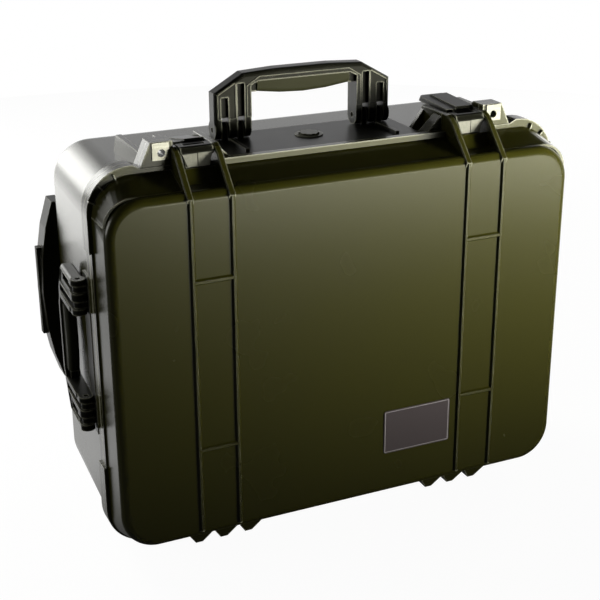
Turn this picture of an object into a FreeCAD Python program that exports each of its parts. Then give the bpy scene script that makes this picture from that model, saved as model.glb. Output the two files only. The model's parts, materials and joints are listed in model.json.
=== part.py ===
import FreeCAD, Part
import math
import os
import Sketcher

# Laptop hard case: a deep moulded base and a shallow lid that part in the plane Y = parting_y.
# The case stands upright on its hinge side. X runs along its width, Z points up and the lid faces -Y.
# The origin is the middle of the case's footprint, on the surface that it stands on.

V = FreeCAD.Vector
TURN = FreeCAD.Rotation

SIZES = dict(
    # Shells, measured from the plane where lid and base meet
    parting_y=-76.0,
    lid_depth=54.0,
    base_depth=183.0,
    lid_wall=4.5,
    base_wall=5.0,
    mouth_width=526.0,
    lid_mouth_low=14.0,
    lid_mouth_high=407.0,
    face_width=523.0,
    face_low=24.0,
    face_high=402.0,
    base_low=11.0,
    base_high=411.0,
    base_back_width=510.0,
    base_back_rise=4.0,
    lid_mouth_corner=40.0,
    lid_face_corner=27.0,
    base_corner=42.0,
    face_edge_round=9.0,
    back_edge_round=25.0,
    inside_edge_round=4.0,
    cut_overrun=1.0,
    # Rim that both shells carry along the parting plane
    rim_width=534.0,
    rim_low=8.0,
    rim_high=413.0,
    rim_corner=45.0,
    rim_thickness=10.0,
    rim_step=2.4,
    rim_step_half=118.0,
    # Crest: the rim stands higher between the fins and beyond them, and highest over the corners
    crest_z=420.5,
    crest_back_y=-78.0,
    crest_foot_z=414.3,
    crest_slope_inset=7.0,
    corner_crest_z=424.5,
    corner_crest_x=211.0,
    corner_crest_run=8.0,
    # Sealing ring in its groove in the lid's rim
    seal_width=3.2,
    seal_depth=3.4,
    seal_gap=0.3,
    seal_low_inset=1.0,
    # Raised ribs on the lid's face and the guard fins beside each latch
    rib_near_x=133.4,
    rib_far_x=176.6,
    rib_rise=2.35,
    rib_foot_half=3.2,
    rib_crest_half=1.1,
    rib_end_inset=6.0,
    rib_lower_z=126.2,
    rib_upper_z=311.3,
    fin_thickness=7.0,
    fin_top=438.3,
    fin_foot_z=396.5,
    fin_shoulder_y=-100.0,
    fin_shoulder_drop=7.6,
    fin_knee_y=-93.0,
    fin_knee_drop=2.6,
    fin_flat_y=-87.0,
    fin_end_y=-33.0,
    fin_end_run=11.0,
    fin_round=1.2,
    # Gussets that brace the near fins from the middle of the case
    gusset_foot_x=105.0,
    gusset_drop=2.5,
    gusset_depth=16.0,
    back_gusset_foot_x=112.0,
    back_gusset_depth=5.0,
    # Catch ledge below each hook, with the running gap left open between them
    catch_gap=0.4,
    catch_overhang=2.0,
    catch_slope_run=16.0,
    # Padlock ears outside the latches
    ear_foot_x=214.0,
    ear_top_x=200.0,
    ear_top=444.2,
    ear_lid_thickness=9.0,
    ear_base_thickness=12.0,
    ear_slope_run=24.0,
    padlock_x=189.0,
    padlock_z=433.2,
    padlock_bore=8.0,
    plate_thickness=1.5,
    plate_near_inset=0.6,
    plate_width=17.6,
    plate_height=18.0,
    outer_rib_x=202.5,
    outer_rib_thickness=6.0,
    outer_rib_top=431.0,
    outer_rib_end_y=22.0,
    # Hinge: knuckles on one line at the foot of the parting plane
    knuckle_radius=5.5,
    knuckle_gap=0.5,
    lid_knuckle_near_x=113.9,
    knuckle_pitch=28.8,
    knuckle_width=14.0,
    hinge_pin_radius=2.2,
    pin_clearance=0.05,
    tooth_front_y=-104.0,
    tooth_back_y=-84.0,
    tooth_foot_half=13.0,
    tooth_tip_half=4.0,
    tooth_slope_y=-111.0,
    # Standing ribs under the base
    foot_rib_thickness=9.0,
    foot_rib_front_y=-55.0,
    foot_rib_back_inset=29.0,
    foot_rib_draft=8.0,
    # Rails on the back, for the case lying down
    rail_rise=25.35,
    rail_left_inset=41.0,
    rail_right_inset=59.0,
    rail_low_z=40.0,
    rail_high_z=382.0,
    rail_foot_half=13.0,
    rail_crest_half=8.0,
    rail_end_draft=14.0,
    # Latch: hook, its lever and the two pins
    latch_x=155.0,
    latch_width=34.0,
    latch_pivot_y=-52.0,
    latch_pivot_z=421.0,
    latch_boss_radius=6.5,
    latch_pin_radius=2.5,
    cheek_thickness=6.0,
    hook_front_y=-95.0,
    hook_thickness=4.5,
    hook_tip_z=418.0,
    hook_root_z=431.5,
    hook_tip_half=12.3,
    hook_root_half=15.4,
    hook_edge=1.1,
    nose_top=438.3,
    nose_back_y=-85.5,
    nose_drop=1.5,
    cheek_drop=2.5,
    cheek_gap=0.8,
    lever_pivot_y=-79.5,
    lever_pivot_z=433.6,
    lever_pin_radius=2.0,
    lever_knuckle_radius=4.3,
    lever_side_gap=0.4,
    lever_front_y=-72.0,
    lever_end_y=-9.0,
    lever_front_low=433.0,
    lever_end_low=421.0,
    lever_thickness=6.0,
    lever_ridge_share=0.3,
    lever_ridge_rise=1.6,
    lever_ridge_inset=1.2,
    right_lever_lift=14.0,
    # Folding handles: sizes named top_ and side_ differ between the two
    top_pivot_y=2.0,
    top_pivot_height=16.0,
    top_outer_half=103.0,
    top_inner_half=62.0,
    top_shoulder_half=70.0,
    top_reach=62.0,
    top_shoulder_reach=40.0,
    top_inner_pocket_reach=49.0,
    top_outer_pocket_reach=35.0,
    top_foot_radius=10.6,
    top_plate_half=113.0,
    top_plate_front=-77.5,
    top_plate_back=21.0,
    top_plate_thickness=8.0,
    top_lug_radius=7.6,
    side_pivot_y=-55.0,
    side_pivot_height=10.72,
    side_middle_z=222.0,
    side_outer_half=84.0,
    side_inner_half=46.0,
    side_shoulder_half=54.0,
    side_reach=72.0,
    side_shoulder_reach=50.0,
    side_inner_pocket_reach=58.0,
    side_outer_pocket_reach=44.0,
    side_foot_radius=7.5,
    side_plate_half=88.0,
    side_plate_front=-10.5,
    side_plate_back=12.0,
    side_plate_thickness=5.0,
    side_lug_radius=5.4,
    handle_pin_radius=2.6,
    handle_slot_width=8.0,
    handle_lug_gap=0.4,
    handle_foot_gap=0.4,
    handle_slot_share=0.28,
    handle_edge_round=4.5,
    handle_bar_depth=12.0,
    handle_crown=3.0,
    handle_crown_share=0.45,
    handle_crown_drop_share=0.3,
    handle_corner_run=8.0,
    handle_corner_drop=4.0,
    handle_block_drop=12.0,
    handle_block_depth_share=0.6,
    handle_bead_width=5.0,
    handle_bead_rise=1.0,
    handle_pocket_depth=6.0,
    handle_panel_inset=4.0,
    handle_panel_depth=1.2,
    grip_end_depth=12.0,
    grip_swell_depth=15.5,
    grip_bulge=16.8,
    grip_round=5.0,
    grip_depth_share=0.84,
    # Rails that stand on the mounting plate in front of the top handle
    plate_rail_x=87.0,
    plate_rail_width=4.5,
    plate_rail_rise=3.5,
    plate_rail_front_y=-58.0,
    plate_rail_gap=2.0,
    # Pressure valve in front of the top handle
    valve_y=-19.0,
    valve_radius=15.5,
    valve_height=1.2,
    knob_radius=11.5,
    knob_height=1.8,
    valve_edge_share=0.25,
    knob_notch_radius=2.0,
    # Pull handle, its telescopic tubes and their cover on the back
    tube_standoff=12.0,
    tube_middle_z=233.0,
    tube_half_spacing=72.0,
    tube_outer_radius=9.0,
    tube_wall=1.4,
    tube_slide_gap=0.08,
    tube_end_gap=9.0,
    tube_left_inset=14.0,
    cover_left_inset=17.0,
    cover_right_inset=46.0,
    cover_side_margin=23.0,
    cover_rise=23.8,
    cover_wall=2.4,
    cover_corner=14.0,
    bow_side_margin=34.0,
    bow_reach=18.5,
    bow_end_reach=1.0,
    bow_inner_inset=9.0,
    bow_socket=7.0,
    bow_front_inset=0.5,
    bow_rise=24.8,
    button_half_height=52.0,
    button_inset=8.0,
    button_rise=1.6,
    button_depth=9.0,
    button_gap=0.35,
    button_travel=3.2,
    # Wheels at the other end, on axles along Z
    wheel_side_inset=1.7,
    wheel_back_inset=1.65,
    wheel_radius=27.0,
    wheel_width=18.0,
    wheel_half_spacing=150.0,
    tyre_thickness=7.0,
    bearing_radius=8.0,
    axle_radius=4.0,
    wheel_side_gap=1.2,
    wheel_well_gap=3.0,
    bracket_thickness=6.0,
    bracket_radius=13.0,
    bracket_far_share=0.75,
    bracket_near_share=0.6,
    bracket_root_share=0.6,
    tyre_edge_share=0.4,
    hub_web_share=0.45,
    # Lining and what the case holds the laptop with
    lining_gap=0.5,
    floor_pad_thickness=18.0,
    frame_pad_depth=62.0,
    sleeve_width=392.0,
    sleeve_height=286.0,
    sleeve_thickness=44.0,
    sleeve_wall=6.0,
    sleeve_back_gap=0.3,
    sleeve_corner=20.0,
    lid_foam_thickness=24.0,
    # Bare label plate on the lid
    label_left_x=39.0,
    label_right_x=122.0,
    label_low_z=73.2,
    label_high_z=125.2,
    label_rise=0.8,
    label_corner=3.0,
)

doc = FreeCAD.newDocument("laptop_hard_case")
sheet = doc.addObject("Spreadsheet::Sheet", "Sizes")
for row, (alias, number) in enumerate(SIZES.items(), start=1):
    sheet.set("A%d" % row, alias)
    sheet.set("B%d" % row, repr(number))
    sheet.setAlias("B%d" % row, alias)
doc.recompute()


class Size:
    """A size that knows its number and the sheet formula that gives it."""

    def __init__(self, number, formula):
        self.number = number
        self.formula = formula

    def join(self, sign, other, number):
        right = other.formula if isinstance(other, Size) else repr(other)
        return Size(number, "(%s %s %s)" % (self.formula, sign, right))

    def __add__(self, other):
        return self.join("+", other, self.number + plain(other))

    def __sub__(self, other):
        return self.join("-", other, self.number - plain(other))

    def __mul__(self, other):
        return self.join("*", other, self.number * plain(other))

    def __truediv__(self, other):
        return self.join("/", other, self.number / plain(other))

    def __radd__(self, other):
        return Size(other + self.number, "(%r + %s)" % (other, self.formula))

    def __rsub__(self, other):
        return Size(other - self.number, "(%r - %s)" % (other, self.formula))

    def __neg__(self):
        return Size(-self.number, "(0 - %s)" % self.formula)


def plain(size):
    """The number of a Size, or the number itself."""
    return size.number if isinstance(size, Size) else size


class Sheet:
    """Reads the sheet's cells by name: S.lid_wall is the Size in that cell."""

    def __getattr__(self, alias):
        return Size(float(sheet.get(alias)), "Sizes." + alias)


S = Sheet()


def bind(thing, place, size):
    """Ties a property to a Size; a zero is set as it is, and places start at zero."""
    if isinstance(size, Size):
        thing.setExpression(place, size.formula)
    elif "." not in place:
        setattr(thing, place, size)


def put(thing, x=0, y=0, z=0):
    """Binds the three coordinates of a placement."""
    bind(thing, "Placement.Base.x", x)
    bind(thing, "Placement.Base.y", y)
    bind(thing, "Placement.Base.z", z)
    return thing


def new(kind, name):
    return doc.addObject(kind, name)


def box(name, x, y, z):
    """A block between pairs of limits along X, Y and Z."""
    block = new("Part::Box", name)
    bind(block, "Length", x[1] - x[0])
    bind(block, "Width", y[1] - y[0])
    bind(block, "Height", z[1] - z[0])
    return put(block, x[0], y[0], z[0])


AXIS_TURNS = {
    "X": TURN(V(0, 1, 0), 90),
    "Y": TURN(V(1, 0, 0), -90),
    "Z": TURN(),
}


def rod(name, axis, start, length, radius):
    """A cylinder that runs from start along an axis of the frame."""
    cylinder = new("Part::Cylinder", name)
    cylinder.Placement = FreeCAD.Placement(V(), AXIS_TURNS[axis])
    bind(cylinder, "Radius", radius)
    bind(cylinder, "Height", length)
    return put(cylinder, *start)


PLANE_TURNS = {
    "XY": TURN(),
    "XZ": TURN(V(1, 0, 0), 90),
    "YZ": TURN(V(1, 1, 1), 120),
}
PLANE_NORMALS = {"XY": V(0, 0, 1), "XZ": V(0, 1, 0), "YZ": V(1, 0, 0)}
PLANE_AXES = {"XY": "z", "XZ": "y", "YZ": "x"}


def fill_sketch(sketch, points):
    """Draws a closed outline whose corners are bound to the sheet."""
    spots = [V(plain(u), plain(w), 0) for u, w in points]
    count = len(points)
    for i, spot in enumerate(spots):
        sketch.addGeometry(Part.LineSegment(spot, spots[(i + 1) % count]), False)
    for i in range(count):
        sketch.addConstraint(Sketcher.Constraint("Coincident", i, 2, (i + 1) % count, 1))
    for i, pair in enumerate(points):
        for kind, axis, size in zip(("DistanceX", "DistanceY"), (-2, -1), pair):
            if isinstance(size, Size) and abs(size.number) > 1e-7:
                made = sketch.addConstraint(Sketcher.Constraint(kind, -1, 1, i, 1, size.number))
                sketch.setExpression("Constraints[%d]" % made, size.formula)
            else:
                sketch.addConstraint(Sketcher.Constraint("PointOnObject", i, 1, axis))
    return sketch


def prism(name, plane, points, start, end):
    """An outline in one of the frame's planes, drawn out between two limits."""
    sketch = new("Sketcher::SketchObject", name + "_outline")
    sketch.Placement = FreeCAD.Placement(V(), PLANE_TURNS[plane])
    fill_sketch(sketch, points)
    bind(sketch, "Placement.Base." + PLANE_AXES[plane], start)
    solid = new("Part::Extrusion", name)
    solid.Base = sketch
    solid.DirMode = "Custom"
    solid.Dir = PLANE_NORMALS[plane]
    solid.Solid = True
    bind(solid, "LengthFwd", end - start)
    return solid


def frustum(name, front, back):
    """A drafted block along Y; each end is (y, half width, low z, high z)."""
    wedge = new("Part::Wedge", name)
    for place, size in (
        ("Ymin", front[0]), ("Xmin", -front[1]), ("Xmax", front[1]), ("Zmin", front[2]), ("Zmax", front[3]),
        ("Ymax", back[0]), ("X2min", -back[1]), ("X2max", back[1]), ("Z2min", back[2]), ("Z2max", back[3]),
    ):
        bind(wedge, place, size)
    return wedge


def fuse(name, *solids):
    joined = new("Part::MultiFuse", name)
    joined.Shapes = list(solids)
    joined.Refine = True
    return joined


def cut(name, base, *tools):
    tool = tools[0] if len(tools) == 1 else fuse(name + "_tools", *tools)
    result = new("Part::Cut", name)
    result.Base = base
    result.Tool = tool
    result.Refine = True
    return result


def common(name, *solids):
    shared = new("Part::MultiCommon", name)
    shared.Shapes = list(solids)
    return shared


def soften(name, base, chosen, radius, far_radius=None):
    """Rounds the edges that the test picks; a far radius holds at their end with the higher Y."""
    doc.recompute()
    far_radius = far_radius or radius
    picked = []
    for i, edge in enumerate(base.Shape.Edges, start=1):
        if chosen(edge):
            first, last = ends(edge)
            pair = (radius.number, far_radius.number)
            picked.append((i,) + (pair if first.y <= last.y else pair[::-1]))
    rounded = new("Part::Fillet", name)
    rounded.Base = base
    rounded.Edges = picked
    return rounded


def ends(edge):
    return edge.Vertexes[0].Point, edge.Vertexes[-1].Point


def runs_along(axis, slant=0.25):
    """Picks straight edges that run along an axis, with some draft."""
    def test(edge):
        a, b = ends(edge)
        run = b - a
        return run.Length > 0 and abs(run.dot(axis)) > (1 - slant) * run.Length
    return test


def lies_at(axis, level):
    """Picks edges that lie in one plane across an axis."""
    def test(edge):
        return all(abs(point.dot(axis) - plain(level)) < 0.01 for point in ends(edge))
    return test


X, Y, Z = V(1, 0, 0), V(0, 1, 0), V(0, 0, 1)
NODES = []


def keep(thing, label):
    """Names a finished sub-part and puts it on the list that is written out."""
    thing.Label = label
    NODES.append(thing)
    return thing


def both_sides(make):
    """Makes a piece on the left and on the right of the middle."""
    return [make("left", -1), make("right", 1)]


def span(sign, near, far):
    """Limits along X on one side of the middle, in rising order."""
    return (near, far) if sign > 0 else (-far, -near)


half_mouth = S.mouth_width / 2
half_face = S.face_width / 2
half_back = S.base_back_width / 2
face_y = S.parting_y - S.lid_depth
back_y = S.parting_y + S.base_depth
rim_half = S.rim_width / 2
lid_rim_y = S.parting_y - S.rim_thickness
base_rim_y = S.parting_y + S.rim_thickness
wheel_x = half_back - S.wheel_side_inset
wheel_y = back_y - S.wheel_back_inset


# Outer and inner forms of the two shells
def lid_form(name, inset, end_y, depth_round):
    block = frustum(
        name + "_block",
        (end_y, half_face - inset, S.face_low + inset, S.face_high - inset),
        (S.parting_y, half_mouth - inset, S.lid_mouth_low + inset, S.lid_mouth_high - inset),
    )
    corners = soften(
        name + "_corners", block, runs_along(Y), S.lid_face_corner - inset, S.lid_mouth_corner - inset
    )
    return soften(name, corners, lies_at(Y, end_y), depth_round)


def base_form(name, inset, end_y, depth_round):
    block = frustum(
        name + "_block",
        (S.parting_y, half_mouth - inset, S.base_low + inset, S.base_high - inset),
        (end_y, half_back - inset, S.base_low + S.base_back_rise + inset, S.base_high - inset),
    )
    corners = soften(name + "_corners", block, runs_along(Y), S.base_corner - inset)
    return soften(name, corners, lies_at(Y, end_y), depth_round)


lid_outer = lid_form("lid_outer", 0, face_y, S.face_edge_round)
lid_inner = lid_form("lid_inner", S.lid_wall, face_y + S.lid_wall, S.inside_edge_round)
base_outer = base_form("base_outer", 0, back_y, S.back_edge_round)
base_inner = base_form("base_inner", S.base_wall, back_y - S.base_wall, S.back_edge_round - S.base_wall)


def rim(name, y):
    block = box(name + "_block", (-rim_half, rim_half), y, (S.rim_low, S.rim_high))
    return soften(name, block, runs_along(Y), S.rim_corner)


lid_rim = rim("lid_rim", (lid_rim_y, S.parting_y))
base_rim = rim("base_rim", (S.parting_y, base_rim_y))


def middle_crest():
    """Raised rim between the near fins, with the slope that leads up to it from the lid's face."""
    half = S.rib_near_x - S.fin_thickness / 2 + S.cut_overrun
    points = [
        (lid_rim_y, S.crest_z), (lid_rim_y, S.crest_foot_z),
        (face_y + S.crest_slope_inset, S.face_high),
        (face_y + S.crest_slope_inset, S.face_high - S.lid_wall / 2),
        (S.crest_back_y, S.face_high - S.lid_wall / 2), (S.crest_back_y, S.crest_z),
    ]
    return prism("middle_crest", "YZ", points, -half, half)


def outer_crest(name, sign, y):
    """Raised rim from the far fin round the upper corner."""
    shoulder = S.rim_high - S.rim_corner
    points = [
        (S.rib_far_x, shoulder), (rim_half, shoulder), (rim_half, S.corner_crest_z),
        (S.corner_crest_x + S.corner_crest_run, S.corner_crest_z), (S.corner_crest_x, S.crest_z),
        (S.rib_far_x, S.crest_z),
    ]
    if sign < 0:
        points = [(-x, z) for x, z in reversed(points)]

    def upper_corner(edge):
        a, b = ends(edge)
        outside = min(abs(a.x), abs(b.x)) > plain(rim_half) - 0.01
        return outside and min(a.z, b.z) > plain(S.corner_crest_z) - 0.01

    return soften(name, prism(name + "_block", "XZ", points, *y), upper_corner, S.rim_corner)


# Guard fins: each has a front half on the lid and a back half on the base
def fin_x(sign, middle):
    half = S.fin_thickness / 2
    return span(sign, middle - half, middle + half)


def fin_top_edges(edge):
    """Picks the long edges along a fin's back, above the shells."""
    a, b = ends(edge)
    above = min(a.z, b.z) > plain(S.fin_foot_z) - 1e-3 and max(a.z, b.z) > plain(S.base_high) + 1e-3
    upright = abs(a.y - b.y) < 1e-6
    return above and abs(a.x - b.x) < 1e-6 and not upright


def lid_fin(name, sign, middle):
    low, high = fin_x(sign, middle)
    points = [
        (face_y - S.rib_rise, S.fin_foot_z),
        (S.fin_shoulder_y, S.fin_top - S.fin_shoulder_drop),
        (S.fin_knee_y, S.fin_top - S.fin_knee_drop),
        (S.fin_flat_y, S.fin_top),
        (S.parting_y, S.fin_top),
        (S.parting_y, S.lid_mouth_high - S.lid_wall),
        (face_y + S.lid_wall, S.face_high - S.face_edge_round),
        (face_y, S.fin_foot_z - S.rib_end_inset),
    ]
    return soften(name, prism(name + "_plate", "YZ", points, low, high), fin_top_edges, S.fin_round)


def base_fin(name, sign, middle):
    low, high = fin_x(sign, middle)
    points = [
        (S.parting_y, S.base_high - S.base_wall),
        (S.parting_y, S.fin_top),
        (S.fin_end_y, S.fin_top),
        (S.fin_end_y + S.fin_end_run, S.base_high),
        (S.fin_end_y + S.fin_end_run, S.base_high - S.base_wall),
    ]
    return soften(name, prism(name + "_plate", "YZ", points, low, high), fin_top_edges, S.fin_round)


def gusset(name, sign, foot_x, y):
    """Triangular web on the base, from its top up the near fin's inner side."""
    inner = S.rib_near_x - S.fin_thickness / 2 + S.cut_overrun
    low = S.base_high - S.base_wall
    high = S.fin_top - S.gusset_drop
    points = [(foot_x, low), (inner, low), (inner, high), (foot_x, S.base_high)]
    if sign < 0:
        points = [(-x, z) for x, z in reversed(points)]
    return prism(name, "XZ", points, *y)


def catch_ledge(name, sign):
    """Ledge between the lid's fins that the hook's tip comes down on."""
    front = S.hook_front_y - S.catch_overhang
    ledge_top = S.hook_tip_z - S.catch_gap
    low, high = span(sign, S.rib_near_x, S.rib_far_x)
    points = [
        (front, ledge_top), (S.parting_y, ledge_top),
        (S.parting_y, S.lid_mouth_high - S.lid_wall),
        (front - S.catch_slope_run, S.face_high - S.lid_wall),
    ]
    return prism(name, "YZ", points, low, high)


# Ears for padlocks, one half on each shell, and the rib behind them
def ear(name, sign, y):
    start = S.rib_far_x
    if sign > 0:
        points = [
            (start, S.base_high - S.base_wall), (S.ear_foot_x, S.base_high - S.base_wall),
            (S.ear_foot_x, S.rim_high), (S.ear_top_x, S.ear_top), (start, S.ear_top),
        ]
    else:
        points = [
            (-start, S.ear_top), (-S.ear_top_x, S.ear_top), (-S.ear_foot_x, S.rim_high),
            (-S.ear_foot_x, S.base_high - S.base_wall), (-start, S.base_high - S.base_wall),
        ]
    return prism(name, "XZ", points, *y)


def ear_slope(name, sign):
    ear_back = S.parting_y + S.ear_base_thickness
    low, high = span(sign, S.rib_far_x, S.ear_top_x)
    points = [
        (ear_back - S.cut_overrun, S.base_high - S.base_wall),
        (ear_back - S.cut_overrun, S.ear_top),
        (ear_back, S.ear_top),
        (ear_back + S.ear_slope_run, S.base_high),
        (ear_back + S.ear_slope_run, S.base_high - S.base_wall),
    ]
    return prism(name, "YZ", points, low, high)


def outer_rib(name, sign):
    ear_back = S.parting_y + S.ear_base_thickness
    low, high = span(
        sign, S.outer_rib_x - S.outer_rib_thickness / 2, S.outer_rib_x + S.outer_rib_thickness / 2
    )
    points = [
        (ear_back - S.cut_overrun, S.base_high - S.base_wall),
        (ear_back - S.cut_overrun, S.outer_rib_top),
        (S.outer_rib_end_y - S.fin_end_run, S.outer_rib_top),
        (S.outer_rib_end_y, S.base_high),
        (S.outer_rib_end_y, S.base_high - S.base_wall),
    ]
    return prism(name, "YZ", points, low, high)


# Ribs drawn over the lid's face: two upright and two cross ribs on each side
def face_rib(name, plane, middle, start, end):
    foot, crest = S.rib_foot_half, S.rib_crest_half
    inner = face_y + S.lid_wall / 2
    outer = face_y - S.rib_rise
    points = [
        (middle - foot, face_y), (middle - crest, outer), (middle + crest, outer),
        (middle + foot, face_y), (middle + foot, inner), (middle - foot, inner),
    ]
    if plane == "YZ":
        points = [(w, u) for u, w in points]
    return prism(name, plane, points, start, end)


def face_ribs(side, sign):
    ribs = []
    for place, middle in (("near", S.rib_near_x), ("far", S.rib_far_x)):
        middle = middle if sign > 0 else -middle
        ribs.append(face_rib(
            "rib_%s_%s" % (place, side), "XY", middle,
            S.face_low + S.rib_end_inset, S.face_high - S.rib_end_inset,
        ))
    low, high = span(sign, S.rib_near_x, S.rib_far_x)
    for place, level in (("lower", S.rib_lower_z), ("upper", S.rib_upper_z)):
        ribs.append(face_rib("rib_%s_%s" % (place, side), "YZ", level, low, high))
    return ribs


# Hinge knuckles: three on the lid, four on the base, on each side
LID_KNUCKLES = 3
hinge_z = S.knuckle_radius
half_knuckle = S.knuckle_width / 2
base_knuckle_half = S.knuckle_pitch / 2 - half_knuckle - S.knuckle_gap


def lid_knuckle_middle(i):
    return S.lid_knuckle_near_x + S.knuckle_pitch * i


def base_knuckle_middle(i):
    return S.lid_knuckle_near_x + S.knuckle_pitch * (i - 0.5)


def barrel(name, sign, middle, half, radius):
    low, high = span(sign, middle - half, middle + half)
    return rod(name, "X", (low, S.parting_y, hinge_z), high - low, radius)


def lid_tooth(name, sign, middle):
    middle = middle if sign > 0 else -middle
    high = S.face_low + S.lid_wall
    outline = prism(
        name + "_outline", "XZ",
        [
            (middle - S.tooth_tip_half, 0), (middle + S.tooth_tip_half, 0),
            (middle + S.tooth_foot_half, S.lid_mouth_low), (middle + S.tooth_foot_half, high),
            (middle - S.tooth_foot_half, high), (middle - S.tooth_foot_half, S.lid_mouth_low),
        ],
        S.tooth_slope_y, S.tooth_back_y,
    )
    profile = prism(
        name + "_profile", "YZ",
        [
            (S.tooth_front_y, 0), (S.tooth_back_y, 0),
            (S.tooth_back_y, high), (S.tooth_slope_y, high), (S.tooth_slope_y, S.lid_mouth_low),
        ],
        middle - S.tooth_foot_half, middle + S.tooth_foot_half,
    )
    return common(name, outline, profile)


def knuckle_web(name, sign, middle, half, y, top):
    low, high = span(sign, middle - half, middle + half)
    return box(name, (low, high), y, (0, top))


def lid_hinge(side, sign):
    pieces = []
    for i in range(LID_KNUCKLES):
        middle = lid_knuckle_middle(i)
        tag = "%s_%d" % (side, i)
        pieces.append(barrel("lid_barrel_" + tag, sign, middle, half_knuckle, S.knuckle_radius))
        pieces.append(knuckle_web(
            "lid_web_" + tag, sign, middle, half_knuckle, (S.tooth_back_y - S.cut_overrun, S.parting_y),
            S.lid_mouth_low,
        ))
        pieces.append(lid_tooth("lid_tooth_" + tag, sign, middle))
    return pieces


def base_hinge(side, sign):
    pieces = []
    for i in range(LID_KNUCKLES + 1):
        middle = base_knuckle_middle(i)
        tag = "%s_%d" % (side, i)
        pieces.append(barrel("base_barrel_" + tag, sign, middle, base_knuckle_half, S.knuckle_radius))
        pieces.append(knuckle_web(
            "base_web_" + tag, sign, middle, base_knuckle_half,
            (S.parting_y, base_rim_y), S.base_low + S.base_wall,
        ))
    return pieces


def hinge_reliefs(name, count, middle_of, half):
    """Room around the other shell's knuckles."""
    reliefs = []
    for side, sign in (("left", -1), ("right", 1)):
        for i in range(count):
            reliefs.append(barrel(
                "%s_%s_%d" % (name, side, i), sign, middle_of(i), half + S.knuckle_gap,
                S.knuckle_radius + S.knuckle_gap,
            ))
    return reliefs


def hinge_line(name, sign, radius, overhang):
    near = base_knuckle_middle(0) - base_knuckle_half - overhang
    far = base_knuckle_middle(LID_KNUCKLES) + base_knuckle_half + overhang
    low, high = span(sign, near, far)
    return rod(name, "X", (low, S.parting_y, hinge_z), high - low, radius)


bore_radius = S.hinge_pin_radius + S.pin_clearance
for side, sign in (("left", -1), ("right", 1)):
    pin = hinge_line("hinge_pin_form_" + side, sign, S.hinge_pin_radius, 0)
    keep(pin, "hinge_pin_" + side)

# Sealing ring: it follows the base's mouth and lies in a groove in the lid's rim
def ring_band(name, y, grow):
    outer_half = half_mouth + grow
    outer_z = (S.base_low + S.seal_low_inset - grow, S.base_high + grow)
    thick = S.seal_width + grow + grow
    inner_half = outer_half - thick
    inner_z = (outer_z[0] + thick, outer_z[1] - thick)
    inner_y = (y[0] - S.cut_overrun, y[1] + S.cut_overrun)
    outer = box(name + "_outer", (-outer_half, outer_half), y, outer_z)
    inner = box(name + "_inner", (-inner_half, inner_half), inner_y, inner_z)
    outer_round = soften(name + "_outer_round", outer, runs_along(Y), S.base_corner)
    inner_round = soften(name + "_inner_round", inner, runs_along(Y), S.base_corner - S.seal_width)
    return cut(name, outer_round, inner_round)


seal_y = (S.parting_y - S.seal_depth - S.seal_gap, S.parting_y - S.seal_gap)
groove = ring_band("seal_groove", (seal_y[0], S.parting_y + S.cut_overrun), S.pin_clearance)
keep(ring_band("lid_seal_form", seal_y, 0), "lid_seal")

# Lid shell
lid_pieces = [lid_outer, lid_rim, middle_crest()]
base_pieces = [base_outer, base_rim]
gussets = []
for side, sign in (("left", -1), ("right", 1)):
    for place, middle in (("near", S.rib_near_x), ("far", S.rib_far_x)):
        lid_pieces.append(lid_fin("lid_fin_%s_%s" % (place, side), sign, middle))
        base_pieces.append(base_fin("base_fin_%s_%s" % (place, side), sign, middle))
    lid_pieces += face_ribs(side, sign)
    lid_pieces.append(catch_ledge("catch_ledge_" + side, sign))
    lid_pieces.append(ear("lid_ear_" + side, sign, (S.parting_y - S.ear_lid_thickness, S.parting_y)))
    lid_pieces += lid_hinge(side, sign)
    lid_pieces.append(outer_crest("lid_crest_" + side, sign, (lid_rim_y, S.parting_y)))
    base_pieces.append(outer_crest("base_crest_" + side, sign, (S.parting_y, base_rim_y)))
    gussets.append(gusset(
        "gusset_" + side, sign, S.gusset_foot_x, (S.parting_y, S.parting_y + S.gusset_depth),
    ))
    gussets.append(gusset(
        "back_gusset_" + side, sign, S.back_gusset_foot_x, (S.fin_end_y - S.back_gusset_depth, S.fin_end_y),
    ))
    base_pieces.append(ear("base_ear_" + side, sign, (S.parting_y, S.parting_y + S.ear_base_thickness)))
    base_pieces.append(ear_slope("base_ear_slope_" + side, sign))
    base_pieces.append(outer_rib("base_outer_rib_" + side, sign))
    base_pieces += base_hinge(side, sign)
base_pieces += gussets


def padlock_bore(name, sign):
    x = S.padlock_x if sign > 0 else -S.padlock_x
    start = S.parting_y - S.ear_lid_thickness - S.plate_thickness - S.cut_overrun
    length = S.ear_base_thickness + S.ear_slope_run + S.ear_lid_thickness + S.plate_thickness * 2
    return rod(name, "Y", (x, start, S.padlock_z), length, S.padlock_bore / 2)


def rim_step(name):
    """The side rim steps in beside the side handle, so that the handle's feet clear it."""
    return box(
        name, (-rim_half - S.cut_overrun, -rim_half + S.rim_step),
        (lid_rim_y - S.cut_overrun, base_rim_y + S.cut_overrun),
        (S.side_middle_z - S.rim_step_half, S.side_middle_z + S.rim_step_half),
    )


lid_cuts = [
    lid_inner, groove, rim_step("lid_rim_step"),
    padlock_bore("lid_padlock_left", -1), padlock_bore("lid_padlock_right", 1),
    hinge_line("lid_bore_left", -1, bore_radius, S.cut_overrun),
    hinge_line("lid_bore_right", 1, bore_radius, S.cut_overrun),
] + hinge_reliefs("lid_relief", LID_KNUCKLES + 1, base_knuckle_middle, base_knuckle_half)
keep(cut("lid_shell_form", fuse("lid_solid", *lid_pieces), *lid_cuts), "lid_shell")


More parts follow.
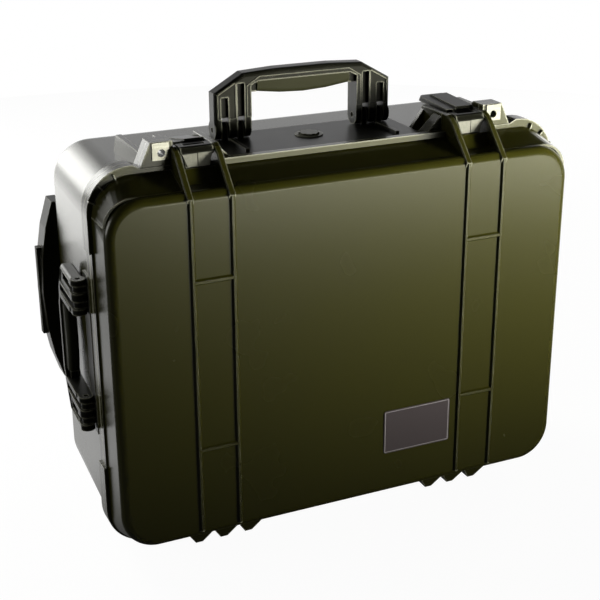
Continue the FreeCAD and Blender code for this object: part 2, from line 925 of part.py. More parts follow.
# Base: standing ribs, back rails and wheel wells
def foot_rib(name, sign, middle):
    half = S.foot_rib_thickness / 2
    low, high = span(sign, middle - half, middle + half)
    top = S.base_low + S.base_back_rise + S.base_wall
    rib_back_y = back_y - S.foot_rib_back_inset
    points = [
        (S.foot_rib_front_y, 0), (rib_back_y, 0),
        (rib_back_y + S.foot_rib_draft, top), (S.foot_rib_front_y - S.foot_rib_draft, top),
    ]
    return prism(name, "YZ", points, low, high)


def back_rail(name, level):
    root = back_y - S.base_wall
    crest = back_y + S.rail_rise
    left = -half_back + S.rail_left_inset
    right = half_back - S.rail_right_inset
    face = prism(
        name + "_face", "YZ",
        [
            (root, level - S.rail_foot_half), (crest, level - S.rail_crest_half),
            (crest, level + S.rail_crest_half), (root, level + S.rail_foot_half),
        ],
        left, right,
    )
    ends_form = prism(
        name + "_ends", "XY",
        [
            (left, root), (left + S.rail_end_draft, crest),
            (right - S.rail_end_draft, crest), (right, root),
        ],
        level - S.rail_foot_half, level + S.rail_foot_half,
    )
    return common(name, face, ends_form)


wheel_level = {
    "lower": (S.rim_low + S.rim_high) / 2 - S.wheel_half_spacing,
    "upper": (S.rim_low + S.rim_high) / 2 + S.wheel_half_spacing,
}
well_half = S.wheel_width / 2 + S.wheel_side_gap + S.bracket_thickness + S.wheel_side_gap
well_radius = S.wheel_radius + S.wheel_well_gap


def well(name, level, radius, half):
    return rod(name, "Z", (wheel_x, wheel_y, level - half), half * 2, radius)


for side, sign in (("left", -1), ("right", 1)):
    for place, middle in (("near", S.rib_near_x), ("far", S.rib_far_x)):
        base_pieces.append(foot_rib("foot_rib_%s_%s" % (place, side), sign, middle))
base_pieces.append(back_rail("back_rail_lower", S.rail_low_z))
base_pieces.append(back_rail("back_rail_upper", S.rail_high_z))

base_cuts = [
    padlock_bore("base_padlock_left", -1), padlock_bore("base_padlock_right", 1),
    hinge_line("base_bore_left", -1, bore_radius, S.cut_overrun),
    hinge_line("base_bore_right", 1, bore_radius, S.cut_overrun),
] + hinge_reliefs("base_relief", LID_KNUCKLES, lid_knuckle_middle, half_knuckle)


def latch_pivot_rod(name, sign, radius, overhang):
    near = S.rib_near_x - S.fin_thickness / 2 - overhang
    far = S.rib_far_x + S.fin_thickness / 2 + overhang
    low, high = span(sign, near, far)
    return rod(name, "X", (low, S.latch_pivot_y, S.latch_pivot_z), high - low, radius)


for side, sign in (("left", -1), ("right", 1)):
    base_cuts.append(latch_pivot_rod("latch_bore_" + side, sign, S.latch_pin_radius, 0))

base_cuts.append(rim_step("base_rim_step"))
hollow = cut("base_hollow", fuse("base_solid", *base_pieces), base_inner)
wells = [well("well_wall_" + place, level, well_radius + S.base_wall, well_half + S.base_wall)
         for place, level in wheel_level.items()]
well_walls = common("well_walls", base_outer, fuse("well_wall_forms", *wells))
base_cuts += [well("well_room_" + place, level, well_radius, well_half)
              for place, level in wheel_level.items()]
keep(cut("base_shell_form", fuse("base_with_wells", hollow, well_walls), *base_cuts), "base_shell")
keep(fuse(
    "latch_pivot_pins_form",
    latch_pivot_rod("latch_pivot_pin_left", -1, S.latch_pin_radius, 0),
    latch_pivot_rod("latch_pivot_pin_right", 1, S.latch_pin_radius, 0),
), "latch_pivot_pins")


# Steel plates that line the padlock holes on the lid's ears
def padlock_plate(name, sign):
    near = S.rib_far_x + S.fin_thickness / 2 + S.plate_near_inset
    front = S.parting_y - S.ear_lid_thickness - S.plate_thickness
    block = box(
        name + "_block", span(sign, near, near + S.plate_width), (front, front + S.plate_thickness),
        (S.ear_top - S.plate_height, S.ear_top - S.plate_near_inset),
    )
    return cut(name, block, padlock_bore(name + "_hole", sign))


keep(fuse("padlock_plates_form", *both_sides(
    lambda side, sign: padlock_plate("padlock_plate_" + side, sign))), "padlock_plates")

# Bare label plate on the lid's face
label = box(
    "label_block", (S.label_left_x, S.label_right_x), (face_y - S.label_rise, face_y),
    (S.label_low_z, S.label_high_z),
)
keep(soften("label_form", label, runs_along(Y), S.label_corner), "label_plate")


# Latches: a hook that swings on the base's pin, and a lever that swings on the hook's nose
def lever_low(y):
    """Height of the closed lever's underside at a place along Y."""
    run = (y - S.lever_front_y) / (S.lever_end_y - S.lever_front_y)
    return S.lever_front_low - (S.lever_front_low - S.lever_end_low) * run


def latch_hook(side, sign):
    middle = S.latch_x if sign > 0 else -S.latch_x
    half = S.latch_width / 2
    name = "hook_" + side
    tip = prism(
        name + "_tip", "XZ",
        [
            (middle - S.hook_tip_half, S.hook_tip_z), (middle + S.hook_tip_half, S.hook_tip_z),
            (middle + S.hook_root_half, S.hook_root_z), (middle - S.hook_root_half, S.hook_root_z),
        ],
        S.hook_front_y, S.hook_front_y + S.hook_thickness,
    )
    nose_low = S.hook_root_z - S.nose_drop
    nose = prism(
        name + "_nose", "YZ",
        [
            (S.hook_front_y, nose_low), (S.hook_front_y, S.hook_root_z + S.hook_edge),
            (S.hook_front_y + S.hook_thickness / 2, S.nose_top - S.hook_edge),
            (S.hook_front_y + S.hook_thickness, S.nose_top), (S.nose_back_y - S.hook_edge, S.nose_top),
            (S.nose_back_y, S.nose_top - S.hook_edge), (S.nose_back_y, nose_low),
        ],
        middle - half, middle + half,
    )
    cheeks = []
    boss_back = S.latch_pivot_y + S.latch_boss_radius
    for place, start in (("a", middle - half), ("b", middle + half - S.cheek_thickness)):
        end = start + S.cheek_thickness
        plate = prism(
            "%s_cheek_%s" % (name, place), "YZ",
            [
                (S.nose_back_y - S.hook_thickness, nose_low),
                (S.nose_back_y - S.hook_thickness, S.nose_top),
                (S.lever_pivot_y + S.lever_pin_radius, S.nose_top),
                (S.lever_front_y, S.lever_front_low - S.cheek_gap),
                (boss_back, lever_low(boss_back) - S.cheek_gap),
                (boss_back, S.latch_pivot_z),
                (S.latch_pivot_y - S.latch_boss_radius, S.latch_pivot_z),
                (S.lever_pivot_y, nose_low - S.cheek_drop),
            ],
            start, end,
        )
        boss = rod(
            "%s_boss_%s" % (name, place), "X", (start, S.latch_pivot_y, S.latch_pivot_z),
            S.cheek_thickness, S.latch_boss_radius,
        )
        cheeks += [plate, boss]
    solid = fuse(name + "_solid", tip, nose, *cheeks)
    bores = [
        rod(name + "_pivot_bore", "X", (middle - half - S.cut_overrun, S.latch_pivot_y, S.latch_pivot_z),
            S.latch_width + S.cut_overrun * 2, S.latch_pin_radius + S.pin_clearance),
        rod(name + "_lever_bore", "X", (middle - half - S.cut_overrun, S.lever_pivot_y, S.lever_pivot_z),
            S.latch_width + S.cut_overrun * 2, S.lever_pin_radius),
    ]
    keep(cut(name + "_form", solid, *bores), "latch_hook_" + side)
    pin = rod(
        name + "_lever_pin", "X", (middle - half, S.lever_pivot_y, S.lever_pivot_z),
        S.latch_width, S.lever_pin_radius,
    )
    keep(pin, "latch_lever_pin_" + side)


def latch_lever(side, sign, lift):
    """Drawn closed about its pivot line, then put on the hook and lifted."""
    half = S.latch_width / 2
    name = "lever_" + side
    inner = half - S.cheek_thickness - S.lever_side_gap
    front = S.lever_front_y - S.lever_pivot_y
    end = S.lever_end_y - S.lever_pivot_y
    front_low = S.lever_front_low - S.lever_pivot_z
    end_low = S.lever_end_low - S.lever_pivot_z
    knuckle = rod(name + "_knuckle", "X", (-inner, 0, 0), inner * 2, S.lever_knuckle_radius)
    web = prism(
        name + "_web", "YZ",
        [
            (0, -S.lever_knuckle_radius), (front + S.lever_thickness, front_low - S.lever_side_gap),
            (front + S.lever_thickness, front_low + S.lever_thickness - S.hook_edge),
            (0, S.lever_knuckle_radius),
        ],
        -inner, inner,
    )
    plate_block = prism(
        name + "_plate", "YZ",
        [
            (front, front_low), (end, end_low), (end - S.lever_pin_radius, end_low + S.lever_thickness),
            (front, front_low + S.lever_thickness),
        ],
        -half, half,
    )
    plate = soften(name + "_plate_round", plate_block, lever_end_corners(end), S.lever_thickness)
    ridge_end = end - S.lever_thickness
    ridge_low = end_low + (front_low - end_low) * S.lever_thickness / (end - front)
    ridge = prism(
        name + "_ridge", "YZ",
        [
            (front, front_low + S.lever_thickness / 2), (ridge_end, ridge_low + S.lever_thickness / 2),
            (ridge_end, ridge_low + S.lever_thickness),
            (ridge_end - S.lever_ridge_rise, ridge_low + S.lever_thickness + S.lever_ridge_rise),
            (front + S.lever_ridge_rise, front_low + S.lever_thickness + S.lever_ridge_rise),
            (front, front_low + S.lever_thickness),
        ],
        -half * S.lever_ridge_share, half - S.lever_ridge_inset,
    )
    bore = rod(
        name + "_bore", "X", (-half, 0, 0), S.latch_width, S.lever_pin_radius + S.pin_clearance
    )
    solid = cut(name + "_form", fuse(name + "_solid", knuckle, web, plate, ridge), bore)
    if isinstance(lift, Size):
        solid.Placement = FreeCAD.Placement(V(), TURN(X, lift.number))
        solid.setExpression("Placement.Rotation.Angle", lift.formula)
    middle = S.latch_x if sign > 0 else -S.latch_x
    keep(put(solid, middle, S.lever_pivot_y, S.lever_pivot_z), "latch_lever_" + side)


def lever_end_corners(end):
    """Picks the two short upright edges at the lever's free end."""
    def test(edge):
        a, b = ends(edge)
        near = min(a.y, b.y) > plain(end) / 2
        return near and abs(a.x - b.x) < 1e-6 and abs(a.z - b.z) > plain(S.lever_thickness) / 2
    return test


latch_hook("left", -1)
latch_hook("right", 1)
latch_lever("left", -1, 0)
latch_lever("right", 1, S.right_lever_lift)


# Folding handles. Each is drawn raised, about a pivot line along X at the origin, and then placed.
class HandleSizes:
    """Reads the sizes of one handle: its own ones start with top_ or side_."""

    def __init__(self, prefix):
        self.prefix = prefix

    def __getattr__(self, alias):
        return getattr(S, "%s_%s" % (self.prefix, alias))


def slot_middles(h):
    arm = h.outer_half - h.inner_half
    return [h.inner_half + arm * S.handle_slot_share, h.outer_half - arm * S.handle_slot_share]


def mirrored(right_half):
    """A closed outline from its right half, which runs from the middle to the middle."""
    return right_half + [(-x, z) for x, z in reversed(right_half)]


def handle_opening(h, grow):
    """Right half of the arch's inner outline, moved outwards by grow."""
    bar_low = h.reach - S.handle_bar_depth + grow
    return [
        (h.inner_half - S.handle_corner_run - grow / 4, bar_low),
        (h.inner_half + grow, bar_low - S.handle_corner_drop - grow),
    ]


def handle_frame(h, name):
    r = h.foot_radius
    crown_x = h.shoulder_half * S.handle_crown_share
    crown_z = h.reach - S.handle_crown * S.handle_crown_drop_share
    arch = prism(
        name + "_arch", "XZ",
        mirrored([
            (crown_x, crown_z), (h.shoulder_half, h.reach - S.handle_crown),
            (h.outer_half, h.shoulder_reach), (h.outer_half, 0),
            (h.inner_half, 0), *reversed(handle_opening(h, 0)),
        ]),
        -r, r,
    )
    rounded = soften(name + "_round", arch, handle_long_edges(h), S.handle_edge_round)
    foot_top = r + S.cut_overrun + S.cut_overrun
    bead = prism(
        name + "_bead", "XZ",
        mirrored([
            *handle_opening(h, S.handle_bead_width), (h.inner_half + S.handle_bead_width, foot_top),
            (h.inner_half, foot_top), *reversed(handle_opening(h, 0)),
        ]),
        -r - S.handle_bead_rise, -r + S.handle_pocket_depth,
    )
    feet, slots = [bead], []
    block_top = h.reach - S.handle_bar_depth / 2
    block_low = h.reach - S.handle_bar_depth - S.handle_block_drop
    block_half = r * S.handle_block_depth_share
    pocket_floor = r - S.handle_pocket_depth
    panel_floor = r - S.handle_panel_depth
    for side, sign in (("left", -1), ("right", 1)):
        low, high = span(sign, h.inner_half, h.outer_half)
        feet.append(rod("%s_foot_%s" % (name, side), "X", (low, 0, 0), high - low, r))
        block_x = span(sign, h.inner_half - S.handle_corner_run, h.inner_half + S.cut_overrun)
        feet.append(box(
            "%s_block_%s" % (name, side), block_x, (-block_half, block_half), (block_low, block_top),
        ))
        for i, (middle, pocket_top) in enumerate(zip(
            slot_middles(h), (h.inner_pocket_reach, h.outer_pocket_reach),
        )):
            s_low, s_high = span(sign, middle - S.handle_slot_width / 2, middle + S.handle_slot_width / 2)
            slots.append(box(
                "%s_slot_%s_%d" % (name, side, i), (s_low, s_high), (-r - S.cut_overrun, r + S.cut_overrun),
                (-r - S.cut_overrun, foot_top),
            ))
            for face, y in (
                ("front", (-r - S.cut_overrun, -pocket_floor)), ("back", (pocket_floor, r + S.cut_overrun)),
            ):
                slots.append(box(
                    "%s_pocket_%s_%s_%d" % (name, face, side, i), (s_low, s_high), y, (r, pocket_top),
                ))
        near = slot_middles(h)[0] + S.handle_slot_width / 2 + S.handle_panel_inset / 2
        far = h.outer_half - S.handle_panel_inset
        slope = (h.reach - S.handle_crown - h.shoulder_reach) / (h.outer_half - h.shoulder_half)
        panel_points = [
            (near, foot_top), (far, foot_top), (far, h.shoulder_reach - S.handle_panel_inset / 2),
            (near, h.shoulder_reach + (far - near) * slope - S.handle_panel_inset / 2),
        ]
        if sign < 0:
            panel_points = [(-x, z) for x, z in reversed(panel_points)]
        slots.append(prism(
            "%s_panel_%s" % (name, side), "XZ", panel_points, -r - S.cut_overrun, -panel_floor,
        ))
        slots.append(rod(
            "%s_bore_%s" % (name, side), "X", (low - S.cut_overrun, 0, 0),
            high - low + S.cut_overrun * 2, S.handle_pin_radius + S.pin_clearance,
        ))
    return cut(name, fuse(name + "_solid", rounded, *feet), *slots)


def handle_long_edges(h):
    """Picks the long outer edges of the handle's arch, front and back."""
    def test(edge):
        a, b = ends(edge)
        flat = abs(a.y - b.y) < 1e-6
        above = min(a.z, b.z) > -1e-6 and max(a.z, b.z) > 1e-6
        bar_low = plain(h.reach - S.handle_bar_depth)
        outer = max(a.z, b.z) > bar_low + 1e-6 or abs(a.x) > plain(h.inner_half) + 1e-6
        return flat and above and outer
    return test


def handle_grip(h, name):
    top = h.reach - S.handle_bar_depth
    half = h.inner_half - S.handle_corner_run
    low_end = top - S.grip_end_depth
    swell = top - S.grip_swell_depth
    depth = h.foot_radius * S.grip_depth_share
    block = prism(
        name + "_block", "XZ",
        [
            (-half, top), (-half, low_end), (-half / 2, swell), (0, top - S.grip_bulge),
            (half / 2, swell), (half, low_end), (half, top),
        ],
        -depth, depth,
    )
    return soften(name, block, grip_low_edges(top), S.grip_round)


def grip_low_edges(top):
    """Picks the long edges under the grip."""
    def test(edge):
        a, b = ends(edge)
        return abs(a.y - b.y) < 1e-6 and max(a.z, b.z) < plain(top) - 1e-6 and abs(a.x - b.x) > 1e-6
    return test


def handle_mount(h, name):
    """Plate with four lugs; it reaches below the pivot line into the shell, which then cuts it."""
    top = -h.foot_radius - S.handle_foot_gap
    plate = box(
        name + "_plate", (-h.plate_half, h.plate_half), (h.plate_front, h.plate_back),
        (top - h.plate_thickness, top),
    )
    pieces = [plate]
    for side, sign in (("left", -1), ("right", 1)):
        for i, middle in enumerate(slot_middles(h)):
            half = S.handle_slot_width / 2 - S.handle_lug_gap
            low, high = span(sign, middle - half, middle + half)
            pieces.append(box(
                "%s_lug_%s_%d" % (name, side, i), (low, high), (-h.lug_radius, h.lug_radius),
                (top - S.cut_overrun, 0),
            ))
            pieces.append(rod(
                "%s_eye_%s_%d" % (name, side, i), "X", (low, 0, 0), high - low, h.lug_radius,
            ))
    bores = []
    for side, sign in (("left", -1), ("right", 1)):
        low, high = span(sign, h.inner_half, h.outer_half)
        bores.append(rod("%s_pin_bore_%s" % (name, side), "X", (low, 0, 0), high - low,
                         S.handle_pin_radius))
    return cut(name + "_form", fuse(name + "_solid", *pieces), *bores)


def handle_pins(h, name):
    pins = []
    for side, sign in (("left", -1), ("right", 1)):
        low, high = span(sign, h.inner_half + S.plate_thickness, h.outer_half - S.plate_thickness)
        pins.append(rod("%s_%s" % (name, side), "X", (low, 0, 0), high - low, S.handle_pin_radius))
    return fuse(name, *pins)


def place(thing, turn, x, y, z):
    thing.Placement = FreeCAD.Placement(V(), turn)
    return put(thing, x, y, z)


top_sizes = HandleSizes("top")
top_spot = (TURN(), 0, S.top_pivot_y, S.base_high + S.top_pivot_height)
keep(place(handle_frame(top_sizes, "top_frame"), *top_spot), "top_handle_frame")
keep(place(handle_grip(top_sizes, "top_grip"), *top_spot), "top_handle_grip")
top_mount = place(handle_mount(top_sizes, "top_mount"), *top_spot)
top_mount_seated = cut("top_mount_seated", top_mount, base_outer, base_rim, *gussets)
plate_top = S.base_high + S.top_pivot_height - S.top_foot_radius - S.handle_foot_gap


def plate_rail(side, sign):
    half = S.plate_rail_width / 2
    return box(
        "plate_rail_" + side, span(sign, S.plate_rail_x - half, S.plate_rail_x + half),
        (S.plate_rail_front_y, S.top_pivot_y - S.top_foot_radius - S.plate_rail_gap),
        (plate_top - S.cut_overrun, plate_top + S.plate_rail_rise),
    )


keep(fuse("top_mount_railed", top_mount_seated, *both_sides(plate_rail)), "top_handle_mount")
keep(place(handle_pins(top_sizes, "top_pins"), *top_spot), "top_handle_pins")

side_sizes = HandleSizes("side")
wall_slope = (half_mouth - half_back) / S.base_depth
wall_draft = math.degrees(math.atan(wall_slope.number))
wall_turn = TURN(Z, -wall_draft) * TURN(Y, -90)
folded_turn = wall_turn * TURN(X, -90)
wall_x = -half_mouth + wall_slope * (S.side_pivot_y - S.parting_y)
side_spot = (wall_x - S.side_pivot_height, S.side_pivot_y, S.side_middle_z)
keep(place(handle_frame(side_sizes, "side_frame"), folded_turn, *side_spot), "side_handle_frame")
keep(place(handle_grip(side_sizes, "side_grip"), folded_turn, *side_spot), "side_handle_grip")
side_mount = place(handle_mount(side_sizes, "side_mount"), wall_turn, *side_spot)
keep(cut("side_mount_seated", side_mount, base_outer), "side_handle_mount")
keep(place(handle_pins(side_sizes, "side_pins"), wall_turn, *side_spot), "side_handle_pins")


# Pieces turned about an axis of their own are bodies with a revolved profile
def turned(name, label, points, x, y, z):
    body = new("PartDesign::Body", name)
    origin_plane = [f for f in body.Origin.OriginFeatures if f.Role == "XZ_Plane"][0]
    sketch = body.newObject("Sketcher::SketchObject", name + "_profile")
    sketch.AttachmentSupport = [(origin_plane, "")]
    sketch.MapMode = "FlatFace"
    fill_sketch(sketch, points)
    revolution = body.newObject("PartDesign::Revolution", name + "_turn")
    revolution.Profile = sketch
    revolution.ReferenceAxis = (sketch, ["V_Axis"])
    revolution.Angle = 360
    body.Tip = revolution
    put(body, x, y, z)
    if label:
        keep(body, label)
    return body


# Pressure valve: a round body on the mounting plate and a knob with finger notches
valve_edge = S.valve_height * S.valve_edge_share
turned("valve_body_form", "valve_body", [
    (0, 0), (S.valve_radius, 0), (S.valve_radius, S.valve_height - valve_edge),
    (S.valve_radius - valve_edge, S.valve_height), (0, S.valve_height),
], 0, S.valve_y, plate_top)
knob_edge = S.knob_height * S.valve_edge_share
knob = turned("valve_knob_form", "", [
    (0, 0), (S.knob_radius, 0), (S.knob_radius, S.knob_height - knob_edge),
    (S.knob_radius - knob_edge, S.knob_height), (0, S.knob_height),
], 0, S.valve_y, plate_top + S.valve_height)
KNOB_NOTCHES = 8
notches = []
for i in range(KNOB_NOTCHES):
    turn = 2 * math.pi * i / KNOB_NOTCHES
    notches.append(rod(
        "valve_notch_%d" % i, "Z",
        (S.knob_radius * math.cos(turn), S.valve_y + S.knob_radius * math.sin(turn), plate_top),
        S.valve_height + S.knob_height + S.cut_overrun, S.knob_notch_radius,
    ))
keep(cut("valve_knob_cut", knob, *notches), "valve_knob")

# Telescopic tubes, their cover and the pull handle
tube_levels = {
    "lower": S.tube_middle_z - S.tube_half_spacing,
    "upper": S.tube_middle_z + S.tube_half_spacing,
}
inner_tube_radius = S.tube_outer_radius - S.tube_wall - S.tube_slide_gap
tube_y = back_y + S.tube_standoff
cover_left_x = -half_back + S.cover_left_inset
cover_right_x = half_back - S.cover_right_inset
cover_half_height = S.tube_half_spacing + S.cover_side_margin
cover_back_y = back_y + S.cover_rise
bow_inner_x = -half_back + S.bow_inner_inset
inner_left = bow_inner_x - S.bow_socket
tube_left_x = -half_back + S.tube_left_inset
tube_right_x = cover_right_x - S.cover_wall
for tag, level in tube_levels.items():
    length = tube_right_x - tube_left_x
    outer = rod("outer_tube_skin_" + tag, "X", (tube_left_x, tube_y, level), length,
                S.tube_outer_radius)
    bore = rod("outer_tube_bore_" + tag, "X", (tube_left_x - S.cut_overrun, tube_y, level),
               length + S.cut_overrun * 2, S.tube_outer_radius - S.tube_wall)
    keep(cut("outer_tube_form_" + tag, outer, bore), "outer_tube_" + tag)
    inner_length = tube_right_x - S.tube_end_gap - inner_left
    skin = rod("inner_tube_skin_" + tag, "X", (inner_left, tube_y, level), inner_length,
               inner_tube_radius)
    hole = rod("inner_tube_bore_" + tag, "X", (inner_left - S.cut_overrun, tube_y, level),
               inner_length + S.cut_overrun * 2, inner_tube_radius - S.tube_wall)
    keep(cut("inner_tube_form_" + tag, skin, hole), "inner_tube_" + tag)

cover_z = (S.tube_middle_z - cover_half_height, S.tube_middle_z + cover_half_height)
cover_block = box("cover_block", (cover_left_x, cover_right_x), (back_y, cover_back_y), cover_z)
cover_round = soften("cover_round", cover_block, runs_along(Y), S.cover_corner)
cover_skin = soften("cover_skin", cover_round, lies_at(Y, cover_back_y), S.cover_wall)
cover_room = box(
    "cover_room", (cover_left_x + S.cover_wall, cover_right_x - S.cover_wall),
    (back_y - S.cut_overrun, cover_back_y - S.cover_wall),
    (cover_z[0] + S.cover_wall, cover_z[1] - S.cover_wall),
)
cover_room_round = soften("cover_room_round", cover_room, runs_along(Y), S.cover_corner - S.cover_wall)
cover_bores = [
    rod("cover_bore_" + tag, "X", (cover_left_x - S.cut_overrun, tube_y, level),
        cover_right_x - cover_left_x, S.tube_outer_radius)
    for tag, level in tube_levels.items()
]
keep(cut("tube_cover_form", cover_skin, cover_room_round, *cover_bores, base_outer), "tube_cover")

bow_half_height = S.tube_half_spacing + S.bow_side_margin
bow_low = S.tube_middle_z - bow_half_height
bow_high = S.tube_middle_z + bow_half_height
bow_end_x = -half_back - S.bow_end_reach
bow_middle_x = -half_back - S.bow_reach
bow_front_y = back_y - S.bow_front_inset
bow_back_y = back_y + S.bow_rise
bow_swell = bow_end_x - bow_middle_x
BOW_SHARES = ((-1.0, 0.0), (-0.72, 0.52), (-0.4, 0.86), (0.0, 1.0), (0.4, 0.86), (0.72, 0.52), (1.0, 0.0))
bow_outline = [(bow_inner_x, bow_high), (bow_inner_x, bow_low)] + [
    (bow_end_x - bow_swell * out_share, S.tube_middle_z + bow_half_height * up_share)
    for up_share, out_share in BOW_SHARES
]
bow_block = prism("bow_block", "XZ", bow_outline, bow_front_y, bow_back_y)
button_y = (bow_front_y + S.button_inset, bow_back_y - S.button_inset)
button_x = (bow_middle_x - S.button_rise, bow_middle_x - S.button_rise + S.button_depth)
button_z = (S.tube_middle_z - S.button_half_height, S.tube_middle_z + S.button_half_height)
button_room = box(
    "button_room", (button_x[0] - S.cut_overrun, button_x[1] + S.button_travel + S.button_gap),
    (button_y[0] - S.button_gap, button_y[1] + S.button_gap),
    (button_z[0] - S.button_gap, button_z[1] + S.button_gap),
)
bow_bores = [
    rod("bow_bore_" + tag, "X", (inner_left, tube_y, level), S.bow_socket + S.cut_overrun,
        inner_tube_radius)
    for tag, level in tube_levels.items()
]
keep(cut("pull_handle_form", bow_block, button_room, *bow_bores), "pull_handle_grip")
button = box("button_block", button_x, button_y, button_z)
keep(soften("button_form", button, lies_at(X, button_x[0]), S.button_rise / 2), "release_button")

# Wheels: rubber tyre on a plastic hub with two bearings, on an axle held by a bracket
hub_radius = S.wheel_radius - S.tyre_thickness
half_wheel = S.wheel_width / 2
bracket_far = S.bracket_radius * S.bracket_far_share
bracket_near = S.bracket_radius * S.bracket_near_share
bracket_root = S.back_edge_round * S.bracket_root_share
tyre_edge = S.tyre_thickness * S.tyre_edge_share
for tag, level in wheel_level.items():
    spot = (wheel_x, wheel_y, level)
    turned("tyre_form_" + tag, "tyre_" + tag, [
        (hub_radius, -half_wheel), (S.wheel_radius - tyre_edge, -half_wheel),
        (S.wheel_radius, -half_wheel + tyre_edge), (S.wheel_radius, half_wheel - tyre_edge),
        (S.wheel_radius - tyre_edge, half_wheel), (hub_radius, half_wheel),
    ], *spot)
    web_half = half_wheel * S.hub_web_share
    boss_radius = S.bearing_radius + S.bracket_thickness / 2
    web_radius = hub_radius - S.bracket_thickness / 2
    turned("hub_form_" + tag, "wheel_hub_" + tag, [
        (S.bearing_radius, -half_wheel), (boss_radius, -half_wheel), (boss_radius, -web_half),
        (web_radius, -web_half), (web_radius, -half_wheel),
        (hub_radius, -half_wheel), (hub_radius, half_wheel),
        (web_radius, half_wheel), (web_radius, web_half),
        (boss_radius, web_half), (boss_radius, half_wheel), (S.bearing_radius, half_wheel),
    ], *spot)
    turned("bearing_form_" + tag, "wheel_bearing_" + tag, [
        (S.axle_radius + S.pin_clearance, -half_wheel), (S.bearing_radius, -half_wheel),
        (S.bearing_radius, half_wheel), (S.axle_radius + S.pin_clearance, half_wheel),
    ], *spot)
    axle_half = half_wheel + S.wheel_side_gap + S.bracket_thickness
    keep(rod("axle_form_" + tag, "Z", (wheel_x, wheel_y, level - axle_half), axle_half * 2,
             S.axle_radius), "wheel_axle_" + tag)
    cheeks = []
    for i, start in enumerate((level - axle_half, level + half_wheel + S.wheel_side_gap)):
        end = start + S.bracket_thickness
        eye = rod("bracket_eye_%s_%d" % (tag, i), "Z", (wheel_x, wheel_y, start),
                  S.bracket_thickness, S.bracket_radius)
        arm = prism(
            "bracket_arm_%s_%d" % (tag, i), "XY",
            [
                (half_back - S.back_edge_round, back_y - bracket_root),
                (half_back - S.base_wall, back_y - S.back_edge_round - bracket_root),
                (wheel_x + bracket_far, wheel_y - bracket_near),
                (wheel_x - bracket_near, wheel_y + bracket_far),
            ],
            start, end,
        )
        cheeks += [eye, arm]
    bracket = cut("bracket_form_" + tag, fuse("bracket_solid_" + tag, *cheeks),
                  rod("bracket_bore_" + tag, "Z", (wheel_x, wheel_y, level - axle_half - S.cut_overrun),
                      (axle_half + S.cut_overrun) * 2, S.axle_radius))
    seat = well("bracket_seat_" + tag, level, well_radius, well_half)
    keep(common("bracket_seated_" + tag, bracket, seat), "wheel_bracket_" + tag)


# Lining: pads in the base, a padded sleeve for the laptop and foam in the lid
def lining(name, inner, y, cuts):
    slab = box(name + "_slab", (-half_mouth, half_mouth), y, (0, S.fin_top))
    filled = common(name + "_filled", inner, slab)
    return cut(name, filled, *cuts) if cuts else filled


pad_inset = S.base_wall + S.lining_gap
pad_back = back_y - pad_inset
pad_inner = base_form("pad_inner", pad_inset, pad_back, S.back_edge_round - pad_inset)
pad_front = pad_back - S.floor_pad_thickness
well_clear = [well("pad_clear_" + place, level, well_radius + S.base_wall + S.lining_gap,
                   well_half + S.base_wall + S.lining_gap) for place, level in wheel_level.items()]
keep(lining("floor_pad_form", pad_inner, (pad_front, pad_back), well_clear), "floor_pad")
middle_z = (S.base_low + S.base_high) / 2
sleeve_z = (middle_z - S.sleeve_height / 2, middle_z + S.sleeve_height / 2)
sleeve_half = S.sleeve_width / 2
frame_hole = box(
    "frame_hole", (-(sleeve_half + S.lining_gap), sleeve_half + S.lining_gap),
    (pad_front - S.frame_pad_depth - S.cut_overrun, pad_front + S.cut_overrun),
    (sleeve_z[0] - S.lining_gap, S.base_high),
)
well_clear_frame = [well("frame_clear_" + place, level, well_radius + S.base_wall + S.lining_gap,
                         well_half + S.base_wall + S.lining_gap) for place, level in wheel_level.items()]
keep(lining("frame_pad_form", pad_inner, (pad_front - S.frame_pad_depth, pad_front - S.sleeve_back_gap),
            [frame_hole] + well_clear_frame), "frame_pad")
sleeve_y = (pad_front - S.sleeve_back_gap - S.sleeve_thickness, pad_front - S.sleeve_back_gap)
sleeve_block = box("sleeve_block", (-sleeve_half, sleeve_half), sleeve_y, sleeve_z)
sleeve_skin = soften("sleeve_skin", sleeve_block, runs_along(Y), S.sleeve_corner)
sleeve_room = box(
    "sleeve_room", (-(sleeve_half - S.sleeve_wall), sleeve_half - S.sleeve_wall),
    (sleeve_y[0] + S.sleeve_wall, sleeve_y[1] - S.sleeve_wall),
    (sleeve_z[0] + S.sleeve_wall, sleeve_z[1] + S.cut_overrun),
)
keep(cut("laptop_sleeve_form", sleeve_skin, sleeve_room), "laptop_sleeve")
foam_inset = S.lid_wall + S.lining_gap
foam_inner = lid_form("foam_inner", foam_inset, face_y + foam_inset, S.inside_edge_round)
foam_y = (face_y + foam_inset, face_y + foam_inset + S.lid_foam_thickness)
keep(lining("lid_foam_form", foam_inner, foam_y, []), "lid_foam")

doc.recompute()
for thing in doc.Objects:
    if "Invalid" in thing.State or "Error" in thing.State:
        raise RuntimeError("%s failed: %s" % (thing.Label, thing.State))
for thing in NODES:
    if thing.Shape.isNull() or not thing.Shape.isValid():
        raise RuntimeError("%s has no valid shape" % thing.Label)
os.makedirs("parts", exist_ok=True)
for thing in NODES:
    thing.Shape.exportStep(os.path.join("parts", thing.Label + ".step"))
    print("%-26s solids %2d  volume %12.1f" % (thing.Label, len(thing.Shape.Solids), thing.Shape.Volume))
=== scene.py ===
# %% [markdown]
# # A hard case for a laptop, with its lid, latches and handles
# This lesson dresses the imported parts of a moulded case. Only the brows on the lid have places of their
# own, taken from the outline of the lid's corners.

# %% Load the case
import bpy
import bmesh
import json
import math
import numpy as np
from mathutils import Matrix, Quaternion, Vector


